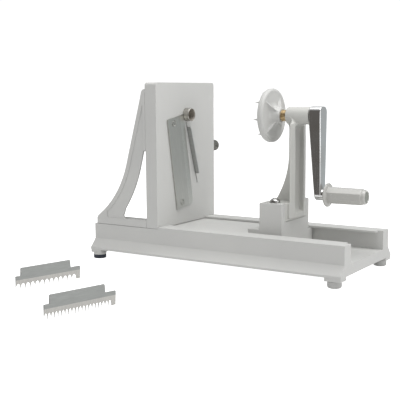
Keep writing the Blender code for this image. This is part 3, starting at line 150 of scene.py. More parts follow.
# Prong disc, from the hub's end, as (depth, radius): its hub and dished back, then its rim and face
DISC_BACK = ((-6.0, 5.4), (0.0, 5.4), (0.0, 8.0), (-0.15, 8.3), (-0.6, 8.55), (-2.6, 9.1), (-5.2, 9.9),
             (-7.6, 10.9), (-9.4, 12.2), (-10.6, 13.8), (-11.2, 15.8), (-11.55, 18.2), (-11.7, 21.0),
             (-11.65, 24.0), (-11.45, 26.2), (-11.15, 28.0), (-10.85, 29.4), (-10.75, 30.5))
DISC_RIM = ((-10.9, 31.5), (-11.4, 32.5), (-12.2, 33.15), (-13.2, 33.4), (-15.0, 33.38), (-16.6, 33.1),
            (-17.7, 32.4), (-18.1, 31.3), (-18.0, 30.0), (-17.2, 27.8), (-16.4, 24.5), (-16.3, 9.0),
            (-16.6, 7.4), (-16.8, 6.0))

# The disc's ribs: their ends, heights and bow, half widths at crest, flank and fillet, and the skin's turns
RIB_COUNT = 4
RIB_STEP = 2 * pi / RIB_COUNT
RIB_PHASE = radians(40)
RIB_ROOT = 8.2
RIB_REACH = 28.5
RIB_TOP = -3.2
RIB_FOOT = -11.4
RIB_CREST_BOW = 1.08
RIB_HALF = 0.6
RIB_DRAFT = 1.6
RIB_FILLET = 4.2
RIB_FLANK_BOW = 1.2
RIB_FILLET_SHARE = 0.14
RIB_TURNS = (0, 0.9, 1.8, 2.8, 3.9, 5.2, 6.6, 8.2, 10, 12.5, 15.5, 19, 23, 27.5, 32.5, 38, 43)

# The disc's prongs, with their shape as (distance past the start, radius)
PRONG_COUNT = 8
PRONG_CIRCLE = 28.0
PRONG_PHASE = radians(-9)
PRONG_START = 16.8
PRONG_PROFILE = ((-0.5, 3.1), (0.0, 2.7), (0.5, 2.25), (1.2, 1.9), (2.6, 1.5), (4.6, 1.1), (6.6, 0.7),
                 (8.2, 0.4), (8.8, 0.25), (9.0, 0.12))

# Bushes: the bore, the chamfers of the two ends, and the groove as (distance from the low end, depth)
BUSH_BORE = 5.3
BUSH_LOW_CHAMFER = 0.5
BUSH_HIGH_CHAMFER = 0.4
BUSH_GROOVE = ((3.4, 0.0), (3.2, 0.25), (2.4, 0.25), (2.2, 0.0))

# Knife, across it, up it and out of the plate, with its ground edge and its notch round the coring tube
KNIFE_AT = (-76.4, 112.2, 128.3)
KNIFE_TILT = radians(9.7)
KNIFE_TURN = Matrix(((0, cos(KNIFE_TILT), sin(KNIFE_TILT)), (0, -sin(KNIFE_TILT), cos(KNIFE_TILT)),
                     (1, 0, 0))).transposed()
KNIFE_HALF = (19.5, 60.5)
KNIFE_CORNER = 1.0
KNIFE_THICK = 1.5
BEVEL_FROM = 8.5
KNIFE_EDGE = 0.3
KNIFE_ROUNDING = 0.07
NOTCH_MIDDLE = (26.5, 58.27)
NOTCH_RADIUS = 9.0
NOTCH_FROM = radians(218.96)
NOTCH_TO = radians(165.66)

# The knife's screws: the upper one's place, the hole, the turned shape, and the slot and its turn
SCREW_SPOT = (-6.6, 53.4)
KNIFE_HOLE = ((2.0, 4.45), (-1.0, 4.45))
SCREW_FACE = ((0.0, 2.65), (-0.15, 2.8), (-1.1, 2.9), (-1.1, 3.7), (-0.15, 3.85), (0.0, 4.0), (0.0, 4.2),
              (-0.1, 4.3), (-0.3, 4.3), (-2.2, 1.8), (-10.5, 1.8))
SCREW_SLOT = ((-0.45, -2.6, -0.9), (0.45, 2.6, 2.0))
SCREW_TURN = 35

# Coring tube: its wall, lip and collar, and a thin sheet over its inside that is duller and painted darker,
# as painted shade in the bore
TUBE = ((HIGH, 0.0, 7.95), (HIGH, 0.0, 8.15), (HIGH, -0.3, 8.4), (LOW, 3.0, 8.4), (LOW, 3.0, 9.4),
        (LOW, 2.7, 9.7), (LOW, 0.4, 9.7), (LOW, 0.0, 9.3), (LOW, 0.0, 7.2), (HIGH, -3.0, 7.2))
BORE_SHADE_SHEET = ((HIGH, -0.08, 8.0), (HIGH, -3.0, 7.26), (LOW, 0.3, 7.26), (LOW, 0.3, 7.1),
          (HIGH, -3.0, 7.1), (HIGH, -0.08, 7.86))

# Thumbscrew's knob: its points along and round it, its knurl and its plain ends
KNOB_LEVELS = 44
KNOB_AROUND = 144
KNURL_LINES = 18
KNURL_LEAN = 1.4
KNURL_DEPTH = 0.55
KNOB_END = 1.6
KNOB_END_DEPTH = 0.9
KNOB_CHAMFER = 0.8

# Combs, along them and up from the tips: the strip, the tab on it and their corners
COMB_LENGTH = 86.5
COMB_THICK = 1.4
COMB_BLOCK = 5.5
BLOCK_FOOT = 0.3
STRIP_TOP = 15.5
STRIP_CORNER = 0.6
TAB_FROM = 6.8
TAB_LENGTH = 66.0
TAB_CORNER = 0.8
TAB_FOOT = ((1.1, 0.0), (0.45, 0.4))
COMB_TOP = 24.5
COMB_ROUNDING = 0.08

# The combs' teeth, the throats between them, and how they are ground thinner
TOOTH_LENGTH = 6.5
TIP_HALF = 0.22
TIP_RISE = 0.25
TIP_THICK = 0.5
THROAT_STEPS = 12
THROAT_BOW = 0.8
GROUND_TOP = 11.0
COARSE_TEETH = 13
FINE_TEETH = 20

# The fitted comb's middle, its slot's tilt, and the way the loose combs point
FITTED_MIDDLE = (-95.2, 140.853, 138.747)
SLOT_TILT = radians(17.4)
LOOSE_HEADING = radians(75)

# How squarely a ground face still faces its piece's own way, as cosines
GROUND_FROM = 0.9
GROUND_TO = 0.9985

# Column's foot: what the housing has past it, its top and edges, and the casting's recess
HOUSING_OVERHANG = 19.6
BLOCK_TOP = 85.0
BLOCK_EDGE = 0.6
RECESS_DEPTH = 7.0
RECESS_HALF = 11.4
RECESS_FLOOR = 72.0
RECESS_PAST = 90.0

# The casting's stem, skirts and ramp, along from the stem's front, aside from its middle, and up
STEM_FRONT = 90.4
STEM_FOOT = 65.5
STEM_TOP = SHAFT.z - 9.15
STEM_FLAT = 12.1
STEM_HALF = 22.7
STEM_FALL = 2.6
STEM_SECTION = ((0.0, -STEM_FLAT), (0.0, -11.5), (-6.5, -11.5), (-6.5, 11.5), (0.0, 11.5), (0.0, STEM_FLAT),
                (-STEM_FALL, STEM_HALF), (-11.0, 5.5), (-11.0, -5.5), (-STEM_FALL, -STEM_HALF))
SKIRT_FROM = 83.0
SKIRT_TO = 87.8
SKIRT_INNER = 11.6
RAMP = ((-7.0, STEM_FOOT), (0.0, STEM_FOOT), (0.0, 70.5), (-6.5, 74.5), (-7.0, 74.5))
RAMP_HALF = 11.9

# The web behind the stem, with its curve down to the board and its round into the housing
WEB_HALF = 2.5
WEB_START = 9.0
WEB_FOOT = 83.0
WEB_CURVE = arc((-33.9, 146.0), 110.3, -0.5861, 0.0, 14)
WEB_ROUND = ((1.9, -8.0), (1.7, -5.0), (1.3, -3.0), (0.7, -1.4), (0.2, -0.6), (0.2, 0.0))

# The housing's ends, bore and radius, and the throats under it with half their widths
HOUSING = (74.5, 105.1)
HOUSING_BORE = 7.2
HOUSING_RADIUS = 10.65
THROAT = ((-7.0, 166.0), (-6.5, 166.0), (-6.3, 170.0), (-5.5, 173.5), (-4.0, 176.3), (-1.6, 178.4),
          (1.6, 179.8), (5.5, 180.6), (5.5, 183.0), (-7.0, 183.0))
SIDE_THROAT = tuple((along, up + 1.2) for along, up in THROAT[:6]) + ((0.0, 181.0), (-7.0, 183.0))
THROAT_HALF = 6.0
SIDE_THROAT_HALF = 11.8

# The shoulders, as (half width, height over the stem), their lean and their back
SHOULDER_CURVE = ((22.7, -3.0), (22.7, -0.4), (21.6, 0.2), (18.5, 0.9), (15.4, 2.1), (13.2, 3.9), (11.8, 6.0),
                  (10.8, 8.6))
SHOULDER_LEAN = 1.15
SHOULDER_EDGE = 0.2
SHOULDER_BACK = 10.5
SHOULDER_BACK_HALF = 5.5

# How finely the casting is blended into one skin, and its head, which is smoothed the most
CASTING_GRAIN = 0.55
CASTING_SMOOTHING = 5
HEAD_SMOOTHING = 45
HEAD_ALONG = (75.5, 104.0)
HEAD_UP = (163.0, 188.0)
HEAD_FADE = 4.0

# The column's screws: socket, dome over a base, and shank
DOME_BASE = 85.3
SOCKET = ((HIGH, -2.2, 1.0), (HIGH, -2.2, 2.1), (HIGH, -0.25, 2.2), (HIGH, 0.0, 2.5))
DOME_LIFT = 0.9
DOME_HEIGHT = 4.5
DOME_RADIUS = 6.45
DOME_FROM = 26
DOME_STEP = 6.4
DOME_STEPS = 10
DOME_FOOT = ((0.3, 6.4), (0.0, 6.1), (0.0, 1.8))
SHANK = ((LOW, 0.6, 1.8), (LOW, 0.0, 1.2))

# Crank arm: its back and front, half widths, corner, low end and edges, and the boss on it
CRANK_BACK = 105.8
CRANK_FRONT = 121.5
CRANK_TOP_HALF = 11.3
CRANK_CORNER = 7.2
CRANK_HALF = 10.3
CRANK_LOW_RADIUS = 7.3
CRANK_LOW_THICK = 8.7
CRANK_STRAIGHT = 1.0
CRANK_EDGE = 1.5
BOSS_END = 126.7
BOSS = ((LOW, -3.0, 3.7), (LOW, -3.0, 6.4), (LOW, -0.2, 7.1), (LOW, 0.25, 6.8), (LOW, 0.8, 6.7),
        (HIGH, -0.5, 6.7), (HIGH, 0.0, 6.2), (HIGH, 0.0, 3.7))

# Grip: its flats, its rings as (end, distance past it, share of the width), and its round collar
GRIP_SIDES = 8
GRIP_ACROSS = 19.5
GRIP_RINGS = ((LOW, 2.0, 1.0), (HIGH, -1.2, 0.975), (HIGH, 0.0, 0.87))
GRIP_EDGE = 0.45
COLLAR = ((LOW, 0.0, 3.8), (LOW, 0.0, 13.6), (LOW, 0.3, 14.2), (LOW, 0.9, 14.5), (LOW, 1.7, 14.5),
          (LOW, 2.3, 14.2), (LOW, 2.6, 13.6), (LOW, 2.6, 11.4), (LOW, 2.9, 10.4), (LOW, 3.6, 9.9),
          (LOW, 3.6, 3.8))

# The grip's cap: its spigot and raised rim, and its sunken face
CAP_RIM = ((LOW, 0.0, 5.0), (LOW, 0.0, 6.2), (LOW, 1.8, 6.2), (LOW, 1.8, 8.8), (LOW, 2.8, 8.85),
           (LOW, 4.0, 8.8), (HIGH, -1.4, 8.6), (HIGH, -0.6, 8.25), (HIGH, -0.1, 7.7), (HIGH, 0.0, 7.2),
           (HIGH, -0.1, 6.8), (HIGH, -0.6, 6.5), (HIGH, -1.1, 6.4), (HIGH, -1.1, 5.0))
CAP_FACE = ((LOW, 0.2, 5.1), (HIGH, -1.3, 5.1), (HIGH, -1.3, 6.25), (HIGH, -0.95, 6.25), (HIGH, -0.8, 5.9),
            (HIGH, -0.75, 1.0))

# How a piece made from its node is welded, flattened and shaded
WELD = 0.002
FLAT_WITHIN = radians(0.6)
NORMAL_WEIGHT = 90

# Plastics: colour, dull colour, roughness and highlights
PLASTICS = {
    "white_plastic": ((0.610, 0.610, 0.592), (0.575, 0.576, 0.562), 0.46, 0.35),
    "column_plastic": ((0.590, 0.590, 0.560), (0.555, 0.555, 0.530), 0.42, 0.35),
    "grip_plastic": ((0.530, 0.526, 0.498), (0.495, 0.490, 0.468), 0.20, 0.7),
    "cap_plastic": ((0.30, 0.31, 0.28), (0.25, 0.26, 0.235), 0.4, 0.35),
    "grey_plastic": ((0.50, 0.50, 0.485), (0.45, 0.45, 0.44), 0.38, 0.35),
}

# Sheet steels: colour, dark colour, roughness, and the grain's scale on each axis and its turn
LEVEL = (0, 0, 0)
TILTED = (-KNIFE_TILT, 0, 0)
SHEETS = {
    "blade_steel": ((0.60, 0.60, 0.57), (0.48, 0.48, 0.45), 0.36, (60.0, 2600.0, 60.0), TILTED),
    "ground_steel": ((0.68, 0.68, 0.64), (0.55, 0.55, 0.52), 0.30, (60.0, 60.0, 3200.0), TILTED),
    # The combs are one steel in two tones. The loose combs' is painted darker, as painted shade. The fitted
    # comb's is painted lighter, as painted light. Both stand for how differently light falls and reflects on
    # them.
    "comb_steel": ((0.385, 0.395, 0.385), (0.315, 0.325, 0.315), 0.40, (70.0, 70.0, 1800.0), LEVEL),
    "fitted_steel_painted_light": ((0.54, 0.55, 0.54), (0.44, 0.45, 0.44), 0.40, (70.0, 1800.0, 70.0), LEVEL),
    "tooth_steel": ((0.60, 0.59, 0.56), (0.46, 0.45, 0.43), 0.32, (1600.0, 1600.0, 50.0), LEVEL),
}

# Turned metals: colour, dark colour, roughness, and the scale of the rings
TURNED = {
    "screw_steel": ((0.52, 0.52, 0.51), (0.36, 0.35, 0.34), 0.22, 900.0),
    "tube_steel": ((0.56, 0.55, 0.51), (0.43, 0.41, 0.38), 0.26, 500.0),
    # The bore's sheet is painted darker than the tube's steel, as painted shade inside the tube. Its higher
    # roughness makes it duller as well.
    "bore_steel_painted_shade": ((0.53, 0.50, 0.45), (0.43, 0.40, 0.36), 0.6, 300.0),
    "knob_steel": ((0.31, 0.30, 0.275), (0.15, 0.145, 0.13), 0.38, 700.0),
}

# The colour sockets of a mix node
MIX_FIRST, MIX_SECOND, MIX_RESULT = 6, 7, 2


def add_object(name, data):
    """A new object in the scene."""
    made = bpy.data.objects.new(name, data)
    bpy.context.scene.collection.objects.link(made)
    return made


def fill(node, values):
    """Sets a shader node's inputs, by their names."""
    for socket, value in values.items():
        node.inputs[socket].default_value = value


def make_camera():
    """The photograph's own view."""
    data = bpy.data.cameras.new("view_camera")
    data.lens = CAMERA_LENS
    data.sensor_width = CAMERA_SENSOR
    data.clip_start = CAMERA_NEAR
    data.clip_end = CAMERA_FAR
    camera = add_object("view_camera", data)
    turn = Matrix.Rotation(CAMERA_AZIMUTH, 4, 'Z') @ Matrix.Rotation(pi / 2 - CAMERA_ELEVATION, 4, 'X')
    roll = Matrix.Rotation(CAMERA_ROLL, 4, 'Z')
    camera.matrix_world = Matrix.Translation(Vector(CAMERA_AT)) @ turn @ roll
    bpy.context.scene.camera = camera


def background(nodes, strength):
    """White surroundings of one strength."""
    node = nodes.new('ShaderNodeBackground')
    fill(node, {"Color": (*WHITE, 1), "Strength": strength})
    return node.outputs["Background"]


def make_room():
    """An even white room, dimmer as a light than to the camera."""
    bpy.context.scene.view_settings.view_transform = 'Standard'
    world = bpy.data.worlds.new("studio")
    bpy.context.scene.world = world
    world.use_nodes = True
    nodes, links = world.node_tree.nodes, world.node_tree.links
    nodes.clear()
    mix = nodes.new('ShaderNodeMixShader')
    output = nodes.new('ShaderNodeOutputWorld')
    path = nodes.new('ShaderNodeLightPath')
    light, seen = mix.inputs[1], mix.inputs[2]
    links.new(path.outputs["Is Camera Ray"], mix.inputs["Fac"])
    links.new(background(nodes, ROOM_LIGHT), light)
    links.new(background(nodes, ROOM_SEEN), seen)
    links.new(mix.outputs["Shader"], output.inputs["Surface"])


def make_lights():
    """Square soft boxes that face the object."""
    for name, at, size, power in LIGHTS:
        data = bpy.data.lights.new(name, 'AREA')
        data.shape = 'SQUARE'
        data.size = size
        data.energy = power
        light = add_object(name, data)
        light.location = at
        light.rotation_mode = 'QUATERNION'
        light.rotation_quaternion = (Vector(LIGHTS_FACE) - Vector(at)).to_track_quat('-Z', 'Y')


def plain_material(name, colour, glow, glow_colour):
    """A dull sheet's material, with a glow of its own."""
    material = bpy.data.materials.new(name)
    material.use_nodes = True
    fill(material.node_tree.nodes["Principled BSDF"], {
        "Base Color": (*colour, 1), "Roughness": SHEET_ROUGHNESS, "Specular IOR Level": 0.0,
        "Emission Color": (*glow_colour, 1), "Emission Strength": glow})
    return material


def stage_plane(name, size, middle, material):
    """A flat sheet of the studio, facing up."""
    corners = [(x * size[0] / 2, y * size[1] / 2, 0) for x, y in ((-1, -1), (1, -1), (1, 1), (-1, 1))]
    mesh = bpy.data.meshes.new(name)
    mesh.from_pydata(corners, [], [(0, 1, 2, 3)])
    mesh.materials.append(material)
    sheet = add_object(name, mesh)
    sheet.location = middle
    return sheet


def make_floor():
    """A plain pale floor that runs out of sight, dimmer as a light than to the camera."""
    paper = plain_material("floor_paper", FLOOR_COLOUR, FLOOR_LIGHT, WHITE)
    nodes, links = paper.node_tree.nodes, paper.node_tree.links
    path = nodes.new('ShaderNodeLightPath')
    strength = nodes.new('ShaderNodeMapRange')
    fill(strength, {"To Min": FLOOR_LIGHT, "To Max": FLOOR_SEEN})
    links.new(path.outputs["Is Camera Ray"], strength.inputs["Value"])
    links.new(strength.outputs["Result"], nodes["Principled BSDF"].inputs["Emission Strength"])
    stage_plane("studio_floor", (FLOOR_SIZE, FLOOR_SIZE), (0, 0, 0), paper)


def make_cards():
    """Upright cards round the object, which give the bright metal something to mirror."""
    for name, middle, width, height, colour in CARDS:
        card = stage_plane(name, (width, height), middle, plain_material(name, BLACK, 1.0, colour))
        facing = Vector((CARDS_FACE[0] - middle[0], CARDS_FACE[1] - middle[1], 0))
        card.rotation_mode = 'QUATERNION'
        card.rotation_quaternion = facing.to_track_quat('Z', 'Y')
        for sight in ("camera", "diffuse", "shadow", "transmission"):
            setattr(card, "visible_" + sight, False)


class Finish:
    """A material's node tree, with short ways to vary its colour, gloss and relief."""

    def __init__(self, name, roughness, metallic=0.0, specular=0.5):
        self.material = bpy.data.materials.new(name)
        self.material.use_nodes = True
        tree = self.material.node_tree
        self.nodes, self.links = tree.nodes, tree.links
        self.shader = self.nodes["Principled BSDF"]
        fill(self.shader, {"Metallic": metallic, "Roughness": roughness, "Specular IOR Level": specular})
        self.place = self.nodes.new('ShaderNodeTexCoord').outputs["Object"]
        self.relief = None

    def stretched(self, scale, turn=LEVEL):
        """The object's own coordinates, turned and then scaled along each axis."""
        rotate = self.nodes.new('ShaderNodeMapping')
        fill(rotate, {"Rotation": turn})
        stretch = self.nodes.new('ShaderNodeMapping')
        fill(stretch, {"Scale": scale})
        self.links.new(self.place, rotate.inputs["Vector"])
        self.links.new(rotate.outputs["Vector"], stretch.inputs["Vector"])
        return stretch.outputs["Vector"]

    def noise(self, scale=1.0, detail=3.0, roughness=0.5, vector=None):
        """Cloudy values, over the object's own coordinates or over others."""
        texture = self.nodes.new('ShaderNodeTexNoise')
        fill(texture, {"Scale": scale, "Detail": detail, "Roughness": roughness})
        self.links.new(vector or self.place, texture.inputs["Vector"])
        return texture.outputs["Fac"]

    def spread(self, value, low, high, to_low=0.0, to_high=1.0):
        """A value moved from one range to another, and held within it."""
        ranged = self.nodes.new('ShaderNodeMapRange')
        fill(ranged, {"From Min": low, "From Max": high, "To Min": to_low, "To Max": to_high})
        self.links.new(value, ranged.inputs["Value"])
        return ranged.outputs["Result"]

    def blend(self, value, first, second):
        """A colour between two, by a value; either may be a colour or a socket."""
        mix = self.nodes.new('ShaderNodeMix')
        mix.data_type = 'RGBA'
        self.links.new(value, mix.inputs["Factor"])
        for number, colour in ((MIX_FIRST, first), (MIX_SECOND, second)):
            if isinstance(colour, tuple):
                mix.inputs[number].default_value = (*colour, 1)
            else:
                self.links.new(colour, mix.inputs[number])
        return mix.outputs[MIX_RESULT]

    def colour(self, source):
        self.links.new(source, self.shader.inputs["Base Color"])

    def gloss(self, value):
        self.links.new(value, self.shader.inputs["Roughness"])

    def bump(self, value, strength, distance):
        """Adds relief over what is there already."""
        node = self.nodes.new('ShaderNodeBump')
        fill(node, {"Strength": strength, "Distance": distance})
        self.links.new(value, node.inputs["Height"])
        if self.relief:
            self.links.new(self.relief, node.inputs["Normal"])
        self.relief = node.outputs["Normal"]
        self.links.new(self.relief, self.shader.inputs["Normal"])


def moulded_plastic(name, colour, dull, roughness, specular):
    """Satin moulding: clouded colour, flow marks, fine scuffs and orange peel."""
    finish = Finish(name + "_moulding", roughness, specular=specular)
    clouds = finish.noise(scale=14.0, detail=4.0)
    flow = finish.noise(detail=2.0, roughness=0.6, vector=finish.stretched((9.0, 60.0, 9.0)))
    scratched = finish.stretched((160.0, 900.0, 420.0), turn=(0.3, 0.5, 0.2))
    scuffs = finish.noise(detail=5.0, roughness=0.7, vector=scratched)
    shinier, duller = roughness - 0.06, roughness + 0.14
    tint = finish.blend(finish.spread(clouds, low=0.3, high=0.7), dull, colour)
    finish.colour(finish.blend(finish.spread(flow, low=0.55, high=0.75, to_high=0.25), tint, dull))
    finish.gloss(finish.spread(scuffs, low=0.35, high=0.75, to_low=shinier, to_high=duller))
    finish.bump(finish.noise(scale=420.0, detail=2.0), strength=0.035, distance=0.00006)
    finish.bump(finish.noise(scale=2600.0), strength=0.05, distance=0.00002)
    return finish.material


def rolled_steel(name, colour, dark, roughness, along, turn):
    """Sheet steel with a fine grain."""
    finish = Finish(name, roughness, metallic=1.0)
    grain = finish.noise(detail=6.0, roughness=0.65, vector=finish.stretched(along, turn))
    clouds = finish.noise(scale=45.0, detail=4.0)
    spots = finish.noise(scale=900.0, detail=2.0)
    duller, shinier = roughness + 0.10, roughness - 0.05
    tint = finish.blend(finish.spread(grain, low=0.3, high=0.7), dark, colour)
    tint = finish.blend(finish.spread(clouds, low=0.45, high=0.8, to_high=0.35), tint, dark)
    finish.colour(finish.blend(finish.spread(spots, low=0.68, high=0.78, to_high=0.35), tint, dark))
    finish.gloss(finish.spread(grain, low=0.3, high=0.7, to_low=duller, to_high=shinier))
    finish.bump(grain, strength=0.25, distance=0.00002)
    return finish.material


def chrome_plate(name, bright, smeared, roughness):
    """Polished plating with faint smears and hairlines."""
    finish = Finish(name, roughness, metallic=1.0)
    smears = finish.noise(scale=38.0, detail=5.0, roughness=0.6)
    hairs = finish.noise(detail=4.0, roughness=0.7, vector=finish.stretched((900.0, 900.0, 22.0)))
    finish.colour(finish.blend(finish.spread(smears, low=0.35, high=0.7), bright, smeared))
    finish.gloss(finish.spread(hairs, low=0.4, high=0.75, to_low=0.06, to_high=0.2))
    finish.bump(hairs, strength=0.06, distance=0.00001)
    return finish.material


def turned_metal(name, colour, dark, roughness, rings):
    """Turned bar with rings round the X axis, and a little tarnish."""
    finish = Finish(name, roughness, metallic=1.0)
    ring = finish.noise(roughness=0.6, vector=finish.stretched((rings, 8.0, 8.0)))
    tarnish = finish.noise(scale=320.0, detail=4.0)
    shinier, duller = roughness - 0.05, roughness + 0.15
    finish.colour(finish.blend(finish.spread(tarnish, low=0.4, high=0.7), colour, dark))
    finish.gloss(finish.spread(ring, low=0.3, high=0.7, to_low=shinier, to_high=duller))
    finish.bump(ring, strength=0.3, distance=0.00003)
    return finish.material


def foot_rubber(name, colour, dusty, roughness):
    """Dark rubber with a dusty bloom."""
    finish = Finish(name, roughness)
    dust = finish.noise(scale=260.0, detail=5.0, roughness=0.7)
    finish.colour(finish.blend(finish.spread(dust, low=0.45, high=0.8), colour, dusty))
    finish.gloss(finish.spread(dust, low=0.3, high=0.7, to_low=0.55, to_high=0.8))
    finish.bump(finish.noise(scale=1500.0), strength=0.3, distance=0.00005)
    return finish.material


def make_finishes():
    """The materials, by name; most are one of the record's slots."""
    finishes = {
        "rubber": foot_rubber("foot_rubber", (0.022, 0.028, 0.045), (0.07, 0.08, 0.10), 0.7),
        "crank_chrome": chrome_plate("crank_chrome", (0.80, 0.81, 0.82), (0.72, 0.71, 0.70), 0.08),
        "brass": turned_metal("bush_brass", (0.60, 0.45, 0.25), (0.42, 0.30, 0.16), 0.36, 1600.0),
    }
    for looks, make in ((PLASTICS, moulded_plastic), (SHEETS, rolled_steel), (TURNED, turned_metal)):
        for name, look in looks.items():
            finishes[name] = make(name, *look)
    return finishes


def placed(axis, first, second, along):
    """A point from two coordinates across an axis and one along it."""
    point = [first, second]
    point.insert('XYZ'.index(axis), along)
    return tuple(point)


def circle(axis, at, along, radius, steps, start=0.0):
    """A ring of points round an axis through a point."""
    first, second = [value for letter, value in zip('XYZ', at) if letter != axis]
    turns = [start + 2 * pi * index / steps for index in range(steps)]
    return [placed(axis, first + radius * cos(turn), second + radius * sin(turn), along) for turn in turns]


def skin(rings, loop=False):
    """Vertices and faces over rings of equal length, closed by caps or, in a loop, by joining its ends."""
    count, rows = len(rings[0]), len(rings)
    points = [point for ring in rings for point in ring]
    faces = []
    for row in range(rows if loop else rows - 1):
        first = row * count
        second = (row + 1) % rows * count
        for index in range(count):
            after = (index + 1) % count
            faces.append((first + index, first + after, second + after, second + index))
    if not loop:
        faces.append(tuple(reversed(range(count))))
        faces.append(tuple(range((rows - 1) * count, rows * count)))
    return points, faces


def between(low, high, points):
    """A turned profile from points of (end, distance past it, radius)."""
    return [((low, high)[end] + past, radius) for end, past, radius in points]


def lathe(axis, at, profile, steps=96, loop=False):
    """A profile of (along, radius) points turned round an axis."""
    return skin([circle(axis, at, along, radius, steps) for along, radius in profile], loop)


def prism(axis, outline, low, high):
    """A flat outline drawn out along an axis: (y, z) for X, (x, z) for Y and (x, y) for Z."""
    return skin([[placed(axis, first, second, level) for first, second in outline] for level in (low, high)])


def block(low, high):
    """A box between two corners."""
    (x0, y0, z0), (x1, y1, z1) = low, high
    return prism('Z', [(x0, y0), (x1, y0), (x1, y1), (x0, y1)], z0, z1)


def moved(shell, turn, at):
    """A shell turned by a matrix and then put at a point."""
    points, faces = shell
    return [tuple(turn @ Vector(point) + Vector(at)) for point in points], faces


def finished_mesh(name, shape):
    """A mesh from edited faces, all turned outwards."""
    bmesh.ops.recalc_face_normals(shape, faces=shape.faces)
    mesh = bpy.data.meshes.new(name)
    shape.to_mesh(mesh)
    shape.free()
    return mesh


def mesh_of(name, shells):
    """One mesh of closed shells, in metres."""
    shape = bmesh.new()
    for points, faces in shells:
        spots = [shape.verts.new(Vector(point) * MM) for point in points]
        for face in faces:
            shape.faces.new([spots[index] for index in face])
    return finished_mesh(name, shape)


def add_modifier(piece, kind, **settings):
    """A modifier with its settings."""
    modifier = piece.modifiers.new(kind.lower(), kind)
    for setting, value in settings.items():
        setattr(modifier, setting, value)


def soften(piece, edge, segments=3, angle=30):
    """Rounds a piece's sharp edges."""
    add_modifier(piece, 'BEVEL', width=edge * MM, segments=segments, limit_method='ANGLE',
                 angle_limit=radians(angle), harden_normals=True)


def settle(piece):
    """Makes what the modifiers give the piece's own mesh."""
    bpy.context.view_layer.update()
    graph = bpy.context.evaluated_depsgraph_get()
    mesh = bpy.data.meshes.new_from_object(piece.evaluated_get(graph))
    piece.modifiers.clear()
    piece.data = mesh


def new_piece(name, shells):
    """A piece of closed shells that has no finish yet."""
    return add_object(name, mesh_of(name, shells))


def cut(piece, shell):
    """Takes a closed shell out of a piece."""
    helper = new_piece("helper", [shell])
    add_modifier(piece, 'BOOLEAN', operation='DIFFERENCE', solver='EXACT', object=helper)
    settle(piece)
    bpy.data.objects.remove(helper)


def split_across(piece, at, normal):
    """Adds an edge to a piece wherever a plane meets it."""
    shape = bmesh.new()
    shape.from_mesh(piece.data)
    everything = [*shape.verts, *shape.edges, *shape.faces]
    bmesh.ops.bisect_plane(shape, geom=everything, plane_co=Vector(at) * MM, plane_no=Vector(normal))
    shape.to_mesh(piece.data)
    shape.free()


def dress(piece, finish, node, angle=30):
    """Gives a piece its material, its smooth shading and its place in the model."""
    mesh = piece.data
    mesh.materials.clear()
    mesh.materials.append(FINISHES[finish])
    mesh.shade_smooth()
    mesh.set_sharp_from_angle(angle=radians(angle))
    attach(piece, BODY_OF[node])
    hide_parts(node)


def grind(piece, finish, facing, back=False):
    """Another finish for faces that lean a little from a piece's own way, and for its back if asked."""
    piece.data.materials.append(FINISHES[finish])
    for face in piece.data.polygons:
        square = face.normal.dot(facing)
        if GROUND_FROM < square < GROUND_TO or back and square < -GROUND_FROM:
            face.material_index = 1


def make_piece(node, shells, finish, angle=30, name=None):
    """A piece of closed shells that stands for a node, or for a part of it under a name of its own."""
    piece = new_piece(name or node + "_piece", shells)
    dress(piece, finish, node, angle)
    return piece


def turn_piece(node, at, points, finish, steps=96, loop=True, angle=30, name=None):
    """A piece turned along X, from points of (end, distance past it, radius)."""
    low, high = span(node)
    profile = between(low.x, high.x, points)
    make_piece(node, [lathe('X', at, profile, steps, loop)], finish, angle, name)


def piece_from_node(node, finish, edge=0.0):
    """A finer piece over a CAD node's own faces, with its edges rounded."""
    shape = bmesh.new()
    shape.from_mesh(frame["nodes"][node].data)
    bmesh.ops.remove_doubles(shape, verts=shape.verts, dist=WELD * MM)
    bmesh.ops.dissolve_limit(shape, angle_limit=FLAT_WITHIN, verts=shape.verts, edges=shape.edges)
    name = node + "_piece"
    piece = add_object(name, finished_mesh(name, shape))
    dress(piece, finish, node)
    if edge:
        soften(piece, edge)
    add_modifier(piece, 'WEIGHTED_NORMAL', keep_sharp=True, weight=NORMAL_WEIGHT)
    return piece


def make_plain_pieces():
    """The pieces that keep their solid's own shape."""
    for finish, nodes in PLAIN_PIECES:
        for node in nodes:
            piece_from_node(node, finish, PLAIN_EDGES.get(node, 0.0))


def make_tray():
    """The tray, with the flare under its walls drawn out to an almost even slope."""
    tray = piece_from_node("base_tray", "white_plastic", TRAY_EDGE)
    for vertex in tray.data.vertices:
        aside, height = vertex.co.y / MM - SHAFT.y, vertex.co.z / MM
        share = (FLARE_TOP - height) / FLARE_DROP
        if not 0 < share < 1:
            continue
        packed = WALL_OUT + FLARE_REACH * (1 - (1 - share ** 2) ** 0.5)
        if abs(abs(aside) - packed) < FLARE_SLACK:
            out = WALL_OUT + FLARE_REACH * share ** FLARE_BOW
            vertex.co.y = (SHAFT.y + out * (1 if aside > 0 else -1)) * MM


def make_foot(node, finish, rounding):
    """A round foot with a stud over it and a dimple under it."""
    low, high = span(node)
    radius = (high.x - low.x) / 2
    inner = radius - rounding
    profile = [(high.z, FOOT_STUD - FOOT_CHAMFER), (high.z - FOOT_CHAMFER, FOOT_STUD), (FOOT_TOP, FOOT_STUD),
               (FOOT_TOP, radius - FOOT_CHAMFER), (FOOT_TOP - FOOT_CHAMFER, radius)]
    profile += [(along, out) for out, along in arc((inner, rounding), rounding, 0, -pi / 2, 6)]
    profile += [(up, inner - inwards) for up, inwards in FOOT_SOLE] + [FOOT_MIDDLE]
    make_piece(node, [lathe('Z', middle_of(node), profile, steps=64)], finish, angle=35)


